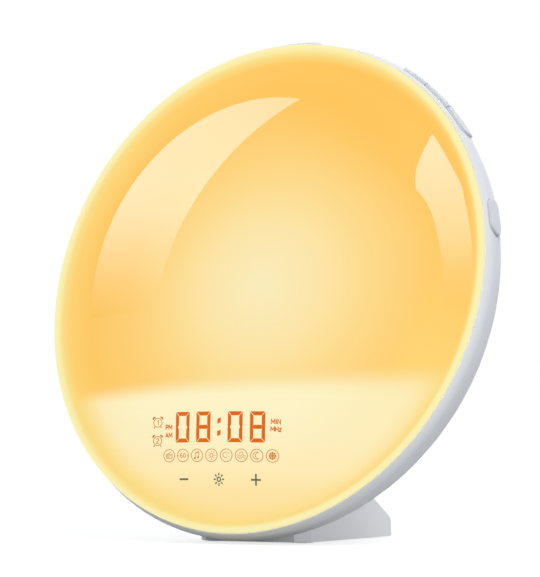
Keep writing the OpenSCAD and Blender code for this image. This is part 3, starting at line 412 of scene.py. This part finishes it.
def turn_points(x, y, r, start, end, steps):
    """Points on a circle from one angle to another, in degrees."""
    turn = np.radians(np.linspace(start, end, steps))
    return [(x + r * math.cos(t), y + r * math.sin(t)) for t in turn]


def circle(x, y, r, steps):
    return turn_points(x, y, r, 0, 360, steps + 1)[:-1]


# ------------------------------------------------------------------ prints on the dome
SHOULDER = 0.55                          # a print's side rises to this share of its height


class Print:
    """Thin raised shapes that follow the dome, collected into one mesh: their height, the
    width of their bevel and how deep they sink into the lens."""

    def __init__(self, height=0.12, edge=0.1, sink=0.06):
        self.height, self.edge, self.sink = height, edge, sink
        self.verts, self.faces = [], []
        self.stretch((0, 0), 1, 1)

    def stretch(self, about, wide, high):
        """Widens or flattens what is drawn next about a point."""
        self.about, self.wide, self.high = about, wide, high

    def stretched(self, points):
        cx, cy = self.about
        return [(cx + (x - cx) * self.wide, cy + (y - cy) * self.high) for x, y in points]

    def shape(self, outline, hole=None, edge=None):
        """A filled outline, counter-clockwise, or a band between it and a hole with as
        many points."""
        edge = self.edge if edge is None else edge
        shoulder = self.height * SHOULDER
        outline = self.stretched(outline)
        loops = [(outline, -self.sink), (outline, shoulder), (inset(outline, edge), self.height)]
        if hole is not None:
            hole = self.stretched(hole)
            loops += [(inset(hole, -edge), self.height), (hole, shoulder), (hole, -self.sink)]
        base, count = len(self.verts), len(outline)
        for points, lift in loops:
            for x, y in points:
                self.verts.append(world(x, y, dome(x, y)[0] + lift))
        rings = [[base + i * count + k for k in range(count)] for i in range(len(loops))]
        pairs = list(zip(rings, rings[1:]))
        if hole is not None:
            pairs.append((rings[-1], rings[0]))
        for a, b in pairs:
            for k in range(count):
                j = (k + 1) % count
                self.faces.append((a[k], a[j], b[j], b[k]))
        if hole is None:
            self.faces.append(tuple(rings[-1]))
            self.faces.append(tuple(reversed(rings[0])))

    def disc(self, x, y, r, steps=20):
        self.shape(circle(x, y, r, steps), edge=min(self.edge, r * 0.3))

    def ring(self, x, y, r, width, steps=48):
        self.shape(circle(x, y, r, steps), circle(x, y, r - width, steps), edge=min(self.edge, width * 0.3))

    def line(self, points, width):
        """A stroke with square ends along a few points."""
        points = [Vector(p) for p in points]
        left, right = [], []
        for i, p in enumerate(points):
            before = points[i] - points[i - 1] if i else points[1] - points[0]
            after = points[i + 1] - points[i] if i + 1 < len(points) else before
            before, after = before.normalized(), after.normalized()
            along = (before + after).normalized()
            side = Vector((-along.y, along.x))
            reach = width / 2 / max(side.dot(Vector((-before.y, before.x))), 0.5)
            left.append(tuple(p + side * reach))
            right.append(tuple(p - side * reach))
        self.shape(right + left[::-1], edge=min(self.edge, width * 0.25))

    def build(self, name, material):
        return smooth_by_angle(new_object(name, self.verts, self.faces, material), 25)


def inset(points, distance):
    """The outline moved inwards, for a counter-clockwise outline."""
    out, count = [], len(points)
    for i in range(count):
        a, b, c = (Vector(points[i - 1]), Vector(points[i]), Vector(points[(i + 1) % count]))
        u, v = (b - a).normalized(), (c - b).normalized()
        n1, n2 = Vector((-u.y, u.x)), Vector((-v.y, v.x))
        n = n1 + n2
        if n.length < 1e-6:
            n = n1
        n.normalize()
        out.append(tuple(b + n * distance / max(n.dot(n1), 0.4)))
    return out


def segment(i):
    """Outline of one bar of a seven-segment digit. The bars count clockwise from the top, and
    the last is the middle one, so the first six make a 0."""
    def flip_y(points):
        return [(x, DIGIT_H - y) for x, y in reversed(points)]

    def flip_x(points):
        return [(w - x, y) for x, y in reversed(points)]

    g, t, w = SEGMENT_GAP / 2 * math.sqrt(2), STROKE, DIGIT_W
    h = DIGIT_H / 2 + t / 2
    lying = [(g, 0), (w - g, 0), (w - t - g, t), (t + g, t)]
    upright = [(0, g), (t, t + g), (t, h - t - g), (t / 2, h - g), (0, h - t / 2 - g)]
    bar = [(t / 2 + g, 0), (t + g, -t / 2), (w - t - g, -t / 2),
           (w - t / 2 - g, 0), (w - t - g, t / 2), (t + g, t / 2)]
    middle = [(x, y + DIGIT_H / 2) for x, y in bar]
    return [flip_y(lying), flip_x(flip_y(upright)), flip_x(upright), lying,
            upright, flip_y(upright), middle][i]


def digits():
    """A 0 and an 8 on each side of the colon."""
    p = Print(edge=0.16)
    for pair in (-PAIR_X, PAIR_X):
        for side, bars in ((-1, 6), (1, 7)):
            left = pair + side * DIGIT_PITCH / 2 - DIGIT_W / 2
            for i in range(bars):
                p.shape([(left + px, DIGITS_TOP - DIGIT_H + py) for px, py in segment(i)])
    half = STROKE / 2
    for side in (-1, 1):
        y = DIGITS_TOP - DIGIT_H / 2 + side * COLON_APART - COLON_DROP
        p.shape([(-half, y - 0.8), (half, y - 0.3), (half, y + 1.3), (-half, y + 0.8)])
    return p


# Strokes of the small letters and numbers, on a box one unit high
GLYPHS = {
    "A": (0.72, [[(0, 0), (0.36, 1), (0.72, 0)], [(0.14, 0.36), (0.58, 0.36)]]),
    "M": (0.86, [[(0, 0), (0, 1), (0.43, 0.34), (0.86, 1), (0.86, 0)]]),
    "P": (0.6, [[(0, 0), (0, 1), (0.42, 1), (0.6, 0.86), (0.6, 0.62), (0.42, 0.48), (0, 0.48)]]),
    "I": (0.0, [[(0, 0), (0, 1)]]),
    "N": (0.7, [[(0, 0), (0, 1), (0.7, 0), (0.7, 1)]]),
    "H": (0.7, [[(0, 0), (0, 1)], [(0.7, 0), (0.7, 1)], [(0, 0.5), (0.7, 0.5)]]),
    "z": (0.48, [[(0, 0.68), (0.48, 0.68), (0, 0), (0.48, 0)]]),
    "1": (0.3, [[(0, 0.74), (0.24, 1), (0.24, 0)]]),
    "2": (0.56, [[(0, 0.8), (0.14, 1), (0.42, 1), (0.56, 0.82), (0.54, 0.62), (0, 0), (0.58, 0)]]),
    "6": (0.56, [[(0.5, 0.94), (0.28, 1), (0.06, 0.8), (0, 0.3), (0.14, 0.02), (0.42, 0.02), (0.56, 0.28),
                  (0.44, 0.54), (0.2, 0.58), (0.02, 0.4)]]),
    "0": (0.56, [[(0.28, 0), (0.06, 0.14), (0, 0.5), (0.06, 0.86), (0.28, 1), (0.5, 0.86), (0.56, 0.5),
                  (0.5, 0.14), (0.27, 0)]]),
}


def write(p, text, x, y, height, width, gap=0.26):
    """Letters from strokes, centred on x, with their feet at y."""
    total = sum(GLYPHS[c][0] for c in text) + gap * (len(text) - 1)
    at = x - total * height / 2
    for c in text:
        advance, strokes = GLYPHS[c]
        for points in strokes:
            p.line([(at + px * height, y + py * height) for px, py in points], width)
        at += (advance + gap) * height


def alarm_icon(p, x, y, number):
    """A round alarm clock with two bells and feet, and its number inside."""
    p.stretch((x, y), 1.15, 0.9)
    p.ring(x, y, 1.75, 0.26)
    for side in (-1, 1):
        tilt = 90 - side * 42
        p.shape(turn_points(x + side * 1.35, y + 1.5, 0.72, tilt - 90, tilt + 90, 14))
        p.line([(x + side * 1.05, y - 1.5), (x + side * 1.5, y - 2.1)], 0.3)
    write(p, number, x + (0.08 if number == "1" else 0), y - 0.85, 1.7, 0.26)


def radio_sign(p, x, y, w):
    corners = (-1.15, -0.95), (1.15, -0.95), (1.15, 0.35), (-1.15, 0.35), (-1.15, -0.95)
    p.line([(x + dx, y + dy) for dx, dy in corners], w)
    p.ring(x - 0.45, y - 0.3, 0.42, 0.18, 20)
    p.line([(x - 0.9, y + 0.4), (x + 0.7, y + 1.3)], w)
    p.line([(x + 0.3, y - 0.05), (x + 0.85, y - 0.05)], w)


def countdown_sign(p, x, y, w):
    write(p, "60", x, y - 0.72, 1.45, 0.22)
    for side in (-1, 1):
        p.line([(x + side * 1.72, y - 0.25), (x + side * 1.72, y + 0.25)], w)


def sound_sign(p, x, y, w):
    for side in (-1, 1):
        p.disc(x + side * 0.62 - 0.22, y - 0.85 + side * 0.12, 0.36)
        stem = x + side * 0.62 + 0.06
        p.line([(stem, y - 0.8 + side * 0.12), (stem, y + 0.95 + side * 0.15)], w)
    p.line([(x - 0.62, y + 0.88), (x + 0.75, y + 1.18)], 0.36)


def noon_sign(p, x, y, w):
    p.ring(x, y, 0.72, w, 24)
    for a in range(0, 360, 45):
        c, s = math.cos(math.radians(a)), math.sin(math.radians(a))
        p.line([(x + 1.0 * c, y + 1.0 * s), (x + 1.5 * c, y + 1.5 * s)], w)


def night_sign(p, x, y, w):
    p.line(turn_points(x - 0.2, y + 0.15, 0.95, 60, 300, 16), w)
    for dx, dy, r in ((0.75, 0.75, 0.2), (0.95, -0.35, 0.16), (0.25, 0.15, 0.16), (0.35, -1.0, 0.14)):
        p.disc(x + dx, y + dy, r, 14)


def sea_sign(p, x, y, w):
    for dy in (-0.75, 0.0):
        p.line([(x + t, y + dy + 0.26 * math.sin(t * 3.4)) for t in np.linspace(-1.5, 1.5, 19)], w)
    p.line(turn_points(x, y + 0.5, 0.7, 0, 180, 14), w)


def moon_sign(p, x, y, w):
    outer = turn_points(x - 0.05, y, 1.25, 55, 305, 18)
    inner = turn_points(x + 0.55, y, 1.05, 250, 110, 12)[1:-1]
    p.line(outer + inner + outer[:1], w)


def effect_sign(p, x, y, w):
    """A small flower of eight petals."""
    p.disc(x, y, 0.4, 16)
    for a in range(0, 360, 45):
        c, s = math.cos(math.radians(a)), math.sin(math.radians(a))
        p.disc(x + 1.0 * c, y + 1.0 * s, 0.36, 14)
        p.line([(x + 0.3 * c, y + 0.3 * s), (x + 0.75 * c, y + 0.75 * s)], w)


def symbols(p):
    """Row of round function symbols."""
    signs = (radio_sign, countdown_sign, sound_sign, noon_sign,
             night_sign, sea_sign, moon_sign, effect_sign)
    for i, sign in enumerate(signs):
        x = (i - 3.5) * SYMBOL_PITCH
        p.stretch((x, SYMBOLS_Y), 1.08, 0.93)
        p.ring(x, SYMBOLS_Y, SYMBOL_R, 0.24)
        sign(p, x, SYMBOLS_Y, 0.2)


# ------------------------------------------------------------------ pieces
def lens_profile():
    """The dome, its rolled edge, the lip and the inside, from the axis round to the axis."""
    slope = math.degrees(math.asin(LENS_CORE / (LENS_CAP - LENS_ROUND)))
    base = LENS_H - LENS_CAP
    outer = turn_points(0, base, LENS_CAP, 90, 90 - slope + 0.04, 60)
    outer += turn_points(LENS_CORE, LENS_SHOULDER, LENS_ROUND, 90 - slope, 0, 26)
    outer += [(LENS_R, 0.25), (LENS_R - 0.12, 0.06), (LENS_R - 0.3, 0.0)]
    lip_in = LIP_OUT - LIP_WALL
    inner = turn_points(0, base, LENS_CAP - LENS_WALL, 90, 90 - slope, 40)
    inner = [p for p in inner if p[0] < lip_in - 0.5]
    lip = [(LIP_OUT, 0.0), (LIP_OUT, -LIP_DEPTH), (lip_in, -LIP_DEPTH), (lip_in, LENS_SHOULDER)]
    return outer + lip + inner[::-1]


def place(piece, node, slot):
    """A piece of the clock's body that stands in for a CAD node."""
    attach(piece, "clock")
    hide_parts(node)


place(revolve("lens", lens_profile(), lens_material()), "front_lens", "lens")

lit_print = digits()
LETTER_H, LETTER_STROKE = 1.5, 0.36
for text, x, y, gap in (("PM", -21.0, -53.6, 0.26), ("AM", -21.0, -56.2, 0.26),
                        ("MIN", 22.0, -51.9, 0.36), ("MHz", 22.1, -54.3, 0.26)):
    write(lit_print, text, x, y, LETTER_H, LETTER_STROKE, gap)
lit_ink = glowing("digit_orange", srgb(226, 106, 20), 0.95, (0.06, 0.012, 0.003, 1))
place(lit_print.build("time_digits", lit_ink), "lit_segments", "lit_print")

sign_print = Print(height=0.08, edge=0.05)
symbols(sign_print)
alarm_icon(sign_print, -26.0, -51.2, "1")
alarm_icon(sign_print, -26.0, -57.2, "2")
sign_ink = glowing("symbol_orange", srgb(214, 122, 44), 0.95, (0.06, 0.02, 0.006, 1))
place(sign_print.build("display_signs", sign_ink), "symbol_windows", "symbol_print")

# CAD nodes that keep their shape: colour, roughness, metal, and what differs in their skin
STEEL = (srgb(180, 182, 186), 0.32, 1.0, {"grain": 700.0, "bump": 0.1, "stretch": (1, 1, 6)})
STEM = (srgb(205, 205, 205), 0.4, 0.0, {})
BUTTON = (srgb(228, 231, 238), 0.34, 0.0, {"spread": 0.006, "bump": 0.01, "gloss": 0.1})
KEYS = ("top", "upper", "middle", "lower", "side")
FINISHES = {
    "rear_housing": (srgb(240, 243, 249), 0.36, 0.0, {"spread": 0.006, "bump": 0.01, "gloss": 0.02}),
    "stand": (srgb(243, 244, 247), 0.4, 0.0, {"spread": 0.006, "bump": 0.015, "gloss": 0.03}),
    "stand_base": (srgb(80, 81, 84), 0.6, 0.0, {"grain": 900.0, "bump": 0.2}),
    "stand_feet": (srgb(196, 197, 199), 0.75, 0.0, {"grain": 1200.0, "bump": 0.2}),
    "touch_key_prints": (srgb(112, 109, 98), 0.5, 0.0, {}),
    "light_reflector": (srgb(238, 238, 234), 0.5, 0.0, {}),
    "light_baffle": (srgb(234, 234, 230), 0.5, 0.0, {}),
    "led_board": (srgb(226, 230, 224), 0.45, 0.0, {"spread": 0.05}),
    "lamp_leds": (srgb(250, 214, 120), 0.3, 0.0, {}),
    "display_frame": (srgb(236, 236, 230), 0.5, 0.0, {}),
    "display_leds": (srgb(250, 214, 120), 0.3, 0.0, {}),
    "touch_pads": (srgb(70, 70, 74), 0.8, 0.0, {"grain": 1400.0, "bump": 0.4}),
    "main_board": (srgb(26, 96, 52), 0.4, 0.0, {"spread": 0.12}),
    "board_chips": (srgb(30, 30, 32), 0.45, 0.0, {"grain": 1500.0, "bump": 0.2}),
    "cell_holder": (srgb(34, 34, 36), 0.45, 0.0, {}),
    "backup_cell": (srgb(200, 202, 206), 0.28, 1.0, {"grain": 500.0, "bump": 0.1, "stretch": (1, 8, 1)}),
    "key_strip": (srgb(190, 120, 36), 0.4, 0.0, {"spread": 0.08}),
    "key_switches": (srgb(34, 34, 36), 0.45, 0.0, {}),
    "speaker_frame": (srgb(80, 80, 84), 0.4, 0.6, {}),
    "speaker_magnet": (srgb(130, 130, 134), 0.4, 0.8, {"grain": 900.0, "bump": 0.2}),
    "speaker_surround": (srgb(24, 24, 25), 0.8, 0.0, {"grain": 1500.0, "bump": 0.3}),
    "speaker_cone": (srgb(46, 46, 48), 0.85, 0.0, {"grain": 800.0, "bump": 0.5, "spread": 0.1}),
    "power_jack": (srgb(28, 28, 30), 0.4, 0.0, {}),
    "jack_pin": (srgb(200, 170, 96), 0.25, 1.0, {}),
    "aerial_wire": (srgb(36, 36, 38), 0.6, 0.0, {}),
}
for node in ("lamp_screws", "board_screws", "speaker_screws", "stand_screws", "base_screws"):
    FINISHES[node] = STEEL
for key in KEYS:
    FINISHES[key + "_stem"] = STEM
    FINISHES[key + "_button"] = BUTTON

for node, (colour, rough, metallic, skin) in FINISHES.items():
    material = surface(node + "_finish", colour, rough, metallic, **skin)
    for slot in frame["nodes"][node].material_slots:
        slot.link = "OBJECT"
        slot.material = material


# Half section of a screw cover: distance from its middle, and height over the back
COVER = [(0.0, 0.3), (0.9, 0.29), (1.3, 0.24), (1.55, 0.14), (1.65, 0.0), (1.65, -0.05), (0.0, -0.05)]
COVER_SIDES = 48


def screw_covers():
    """Four low caps on the back, over the loudspeaker's screws."""
    verts, faces = [], []
    cap = cap_radius(BACK_CORE, WAIST, BACK_ROUND, BACK_H)
    for x, y in turn_points(0, SPEAKER_Y, LUG_CIRCLE, 45, 315, 4):
        normal = Vector((x, y, -math.sqrt(cap * cap - x * x - y * y))) / cap
        spot = Vector((0, 0, cap - BACK_H)) + normal * cap
        u = normal.orthogonal().normalized()
        v = normal.cross(u)
        rings = []
        for r, h in COVER:
            count = 1 if r == 0 else COVER_SIDES
            rings.append([len(verts) + k % count for k in range(COVER_SIDES)])
            for dx, dy in circle(0, 0, r, COVER_SIDES)[:count]:
                verts.append(world(*(spot + normal * h + u * dx + v * dy)))
        for a, b in zip(rings, rings[1:]):
            faces += between(a, b)
    white = surface("screw_cover_finish", srgb(228, 231, 238), 0.36, 0.0,
                    spread=0.006, bump=0.01, gloss=0.06)
    obj = smooth_by_angle(new_object("screw_covers", verts, faces, white), 60)
    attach(obj, "clock")


screw_covers()


# Moulded parts with rounded edges, where the edges stand clear of the housing. Edges sharper
# than SHARP degrees are rounded, faces flatter than FLAT are joined, and points closer than
# WELD metres are one.
SHARP, FLAT, WELD = 32, 0.5, 2e-6
BUTTON_EDGE, STAND_EDGE = 0.3, 1.0       # widths of the rounded edges, in millimetres
RIM_CLEAR, STAND_CLEAR = 0.2, 1.5        # the least distance of such an edge from the head
STAND_LOW = 0.0025                       # edges of the stand below this height stay, in metres


def softened(node, width, clear, body="clock"):
    """A copy of a CAD node whose sharp outer edges are rounded."""
    source = frame["nodes"][node]
    bm = bmesh.new()
    bm.from_mesh(source.data)
    bmesh.ops.transform(bm, matrix=source.matrix_world, verts=bm.verts)
    bmesh.ops.remove_doubles(bm, verts=bm.verts, dist=WELD)
    bmesh.ops.dissolve_limit(bm, angle_limit=math.radians(FLAT), verts=bm.verts, edges=bm.edges)
    edges = [edge for edge in bm.edges
             if len(edge.link_faces) == 2 and edge.calc_face_angle(0) > math.radians(SHARP)
             and all(clear(v.co) for v in edge.verts)]
    bmesh.ops.bevel(bm, geom=edges, offset=width / 1000, offset_type="OFFSET", segments=4, profile=0.5,
                    affect="EDGES", clamp_overlap=False)
    mesh = bpy.data.meshes.new(node + "_soft")
    bm.to_mesh(mesh)
    bm.free()
    obj = bpy.data.objects.new(node + "_soft", mesh)
    bpy.context.scene.collection.objects.link(obj)
    mesh.materials.append(source.material_slots[0].material)
    smooth_by_angle(obj, SHARP)
    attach(obj, body)
    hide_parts(node)


def off_axis(p):
    """Distance of a point from the head's axis, in millimetres, and its height over the rim."""
    x, y, z = p.x * 1000, p.y * 1000 - HEAD_Y, p.z * 1000 - HEAD_Z
    return math.hypot(x, y * SIN + z * COS), z * SIN - y * COS


def outside_rim(p):
    return off_axis(p)[0] > HEAD_R + RIM_CLEAR


def clear_of_head(p):
    r, z = off_axis(p)
    from_back = math.hypot(max(r - BACK_CORE, 0), z + WAIST)
    return from_back > BACK_ROUND + STAND_CLEAR and p.z > STAND_LOW


for key in KEYS:
    softened(key + "_button", BUTTON_EDGE, outside_rim, key + "_key")
softened("stand", STAND_EDGE, clear_of_head)


# ------------------------------------------------------------------ camera
# Its direction and roll in degrees, its place from the rim's middle in metres, and its focal
# length and the picture's size and axis in pixels
AZIMUTH, ELEVATION, ROLL = 33.87, -2.36, 0.80
EYE_FROM_RIM = (0.49215, -0.73323, -0.03639)
FOCAL, IMAGE_W, IMAGE_H, AXIS_X, AXIS_Y = 2598.3, 540, 577, 261.64, 284.64
SENSOR = 36.0                            # millimetres over the picture's longer side
scene = bpy.context.scene
turn, roll = math.radians(AZIMUTH), math.radians(ROLL)
back = direction(AZIMUTH, ELEVATION)
right = Vector((math.cos(turn), math.sin(turn), 0))
up = back.cross(right)
right, up = (math.cos(roll) * right - math.sin(roll) * up,
             math.sin(roll) * right + math.cos(roll) * up)
camera = bpy.data.cameras.new("camera")
camera_obj = bpy.data.objects.new("camera", camera)
scene.collection.objects.link(camera_obj)
eye = world(0, 0, 0) + Vector(EYE_FROM_RIM)
camera_obj.matrix_world = Matrix.Translation(eye) @ Matrix((right, up, back)).transposed().to_4x4()
camera.sensor_width = SENSOR
camera.lens = FOCAL / IMAGE_H * SENSOR
camera.shift_x = (IMAGE_W / 2 - AXIS_X) / IMAGE_H
camera.shift_y = (AXIS_Y - IMAGE_H / 2) / IMAGE_H
camera.clip_start = 0.05
scene.camera = camera_obj
scene.view_settings.view_transform = "Standard"


# ------------------------------------------------------------------ floor and light
def white_to_the_eye(tree, add):
    """1 for rays that look at the room, straight or in a mirror or through glass."""
    path = add("ShaderNodeLightPath")
    total = path.outputs["Is Camera Ray"]
    for ray in ("Is Glossy Ray", "Is Transmission Ray"):
        node = add("ShaderNodeMath")
        node.operation = "MAXIMUM"
        tree.links.new(total, node.inputs[0])
        tree.links.new(path.outputs[ray], node.inputs[1])
        total = node.outputs[0]
    return total


FLOOR_TONES = [(0.3, (0.32, 0.32, 0.32, 1)), (0.7, (0.34, 0.34, 0.34, 1))]


def floor_material():
    """Matt and pale, with a glow of its own that only the eye sees and that rises with the
    distance from the clock, where less light of the lamps reaches the floor."""
    n = Nodes("floor_white")
    n.shader.inputs["Roughness"].default_value = 0.9
    n.shader.inputs["Specular IOR Level"].default_value = 0.1
    n.link(n.ramp(n.noise(3.0, 2.0), FLOOR_TONES), n.shader.inputs["Base Color"])
    x, y = n.split(n.coordinates())[:2]
    away = n.range(n.step(n.length(x, y), 0.2, 1.2), 0.75, 0.9)
    n.link(n.math("MULTIPLY", white_to_the_eye(n.tree, n.add), away), n.shader.inputs["Emission Strength"])
    n.shader.inputs["Emission Color"].default_value = (1, 1, 1, 1)
    return n.mat


bpy.ops.mesh.primitive_grid_add(x_subdivisions=8, y_subdivisions=8, size=16, location=(0, 0, 0))
floor = bpy.context.object
floor.name = "studio_floor"
floor.data.materials.append(floor_material())


def hang(light, aim, azimuth, elevation, distance):
    """Hangs a lamp in a direction from what it looks at. It doesn't show in mirrors."""
    obj = bpy.data.objects.new(light.name, light)
    scene.collection.objects.link(obj)
    out = direction(azimuth, elevation)
    obj.location = aim + out * distance
    obj.rotation_euler = out.to_track_quat("Z", "Y").to_euler()
    obj.visible_glossy = False


def softbox(name, azimuth, elevation, power, distance=1.6, size=0.9):
    """A square lamp that looks at the head."""
    light = bpy.data.lights.new(name, "AREA")
    light.shape = "RECTANGLE"
    light.size = light.size_y = size
    light.energy = power
    hang(light, world(0, 0, 0), azimuth, elevation, distance)


def stand_spot():
    """A low lamp for the stand alone, under the head."""
    light = bpy.data.lights.new("stand_spot", "SPOT")
    light.energy, light.shadow_soft_size = 13.5, 0.08
    light.spot_size, light.spot_blend = math.radians(12), 1.0
    hang(light, Vector((0.02, 0.005, 0.006)), 58, 4, 0.8)


softbox("right_box", 68, 52, 13.2)
softbox("left_box", -60, 20, 7.5)
softbox("back_box", 190, 20, 7.5)
stand_spot()


def card_material():
    """Light that fades along the card."""
    mat = bpy.data.materials.new("card_light")
    mat.cycles.emission_sampling = "NONE"
    mat.use_nodes = True
    tree = mat.node_tree
    tree.nodes.clear()
    fade = tree.nodes.new("ShaderNodeAttribute")
    fade.attribute_name = "fade"
    light = tree.nodes.new("ShaderNodeEmission")
    light.inputs["Color"].default_value = (0.86, 0.87, 1.25, 1)
    out = tree.nodes.new("ShaderNodeOutputMaterial")
    tree.links.new(fade.outputs["Fac"], light.inputs["Strength"])
    tree.links.new(light.outputs[0], out.inputs[0])
    return mat


def card(name, outer, inner, strength, fades, distance=2.2, columns=16):
    """A light card between two edges. They are given as the place on the dome, in millimetres
    of the face's frame, where the camera sees their reflection. The light fades with the
    height on the face, from fades[0] to fades[1]."""
    verts, faces, level = [], [], []
    for (ox, oy), (ix, iy) in zip(outer, inner):
        for k in range(columns + 1):
            t = k / columns
            x, y = ox + (ix - ox) * t, oy + (iy - oy) * t
            z, normal = dome(x, y)
            spot = world(x, y, z)
            sight = (spot - eye).normalized()
            verts.append(spot + (sight - 2 * sight.dot(normal) * normal) * distance)
            level.append(strength * float(np.interp(y, fades[0], fades[1])))
    row = columns + 1
    for i in range(len(outer) - 1):
        for k in range(columns):
            at = i * row + k
            faces.append((at, at + 1, at + row + 1, at + row))
    obj = new_object(name, verts, faces, card_light)
    data = obj.data.attributes.new("fade", "FLOAT", "POINT")
    data.data.foreach_set("value", level)
    obj.visible_camera = obj.visible_diffuse = obj.visible_shadow = False


def spline(points, steps):
    """A smooth line through a few points."""
    points = [Vector(p) for p in points]
    line = []
    for s in np.linspace(0, len(points) - 1, steps):
        i = min(int(s), len(points) - 2)
        t = s - i
        a, b, c, d = (points[max(0, min(j, len(points) - 1))] for j in (i - 1, i, i + 1, i + 2))
        line.append(0.5 * (2 * b + (c - a) * t + (2 * a - 5 * b + 4 * c - d) * t * t
                           + (3 * b - a - 3 * c + d) * t ** 3))
    return [tuple(p) for p in line]


card_light = card_material()
LEVELS = (0, 0.15, 0.55, 0.85, 1)
# Left: between a circle about the dome's middle and a wider one. Right: a horn with a corner.
left_outer = turn_points(0, 0, 63.4, 78, 192, 90)
left_inner = turn_points(61.75, -17.7, 93.0, 121.2, 177.0, 90)
card("left_card", left_outer, left_inner, 15.0, ((-14, -3, 12, 23, 35), LEVELS))
right_outer = spline([(64.8, 47.3), (68.0, 43.3), (73.6, 35.1), (77.9, 27.6), (81.5, 17.3),
                      (83.8, 7.3), (84.9, -3.0), (84.6, -13.0)], 120)
right_inner = spline([(64.6, 47.4), (62.5, 39.2), (61.9, 33.4), (62.9, 27.4)], 48)
right_inner += spline([(62.9, 27.4), (67.0, 22.9), (70.6, 16.4), (74.3, 5.2), (76.2, -6.8),
                       (76.6, -13.0)], 73)[1:]
card("right_card", right_outer, right_inner, 22.0, ((-13, 0, 12, 28, 41), LEVELS))


def room_light():
    """Soft light from all round, that looks white to the eye."""
    world_data = bpy.data.worlds.new("studio")
    scene.world = world_data
    world_data.use_nodes = True
    tree = world_data.node_tree
    tree.nodes.clear()
    out = tree.nodes.new("ShaderNodeOutputWorld")
    mix = tree.nodes.new("ShaderNodeMixShader")
    lighting = tree.nodes.new("ShaderNodeBackground")
    seen = tree.nodes.new("ShaderNodeBackground")
    lighting.inputs["Color"].default_value = (0.95, 0.98, 1.0, 1)
    lighting.inputs["Strength"].default_value = 0.42
    seen.inputs["Color"].default_value = (1, 1, 1, 1)
    seen.inputs["Strength"].default_value = 1.0
    tree.links.new(white_to_the_eye(tree, tree.nodes.new), mix.inputs["Fac"])
    tree.links.new(lighting.outputs[0], mix.inputs[1])
    tree.links.new(seen.outputs[0], mix.inputs[2])
    tree.links.new(mix.outputs[0], out.inputs[0])


room_light()
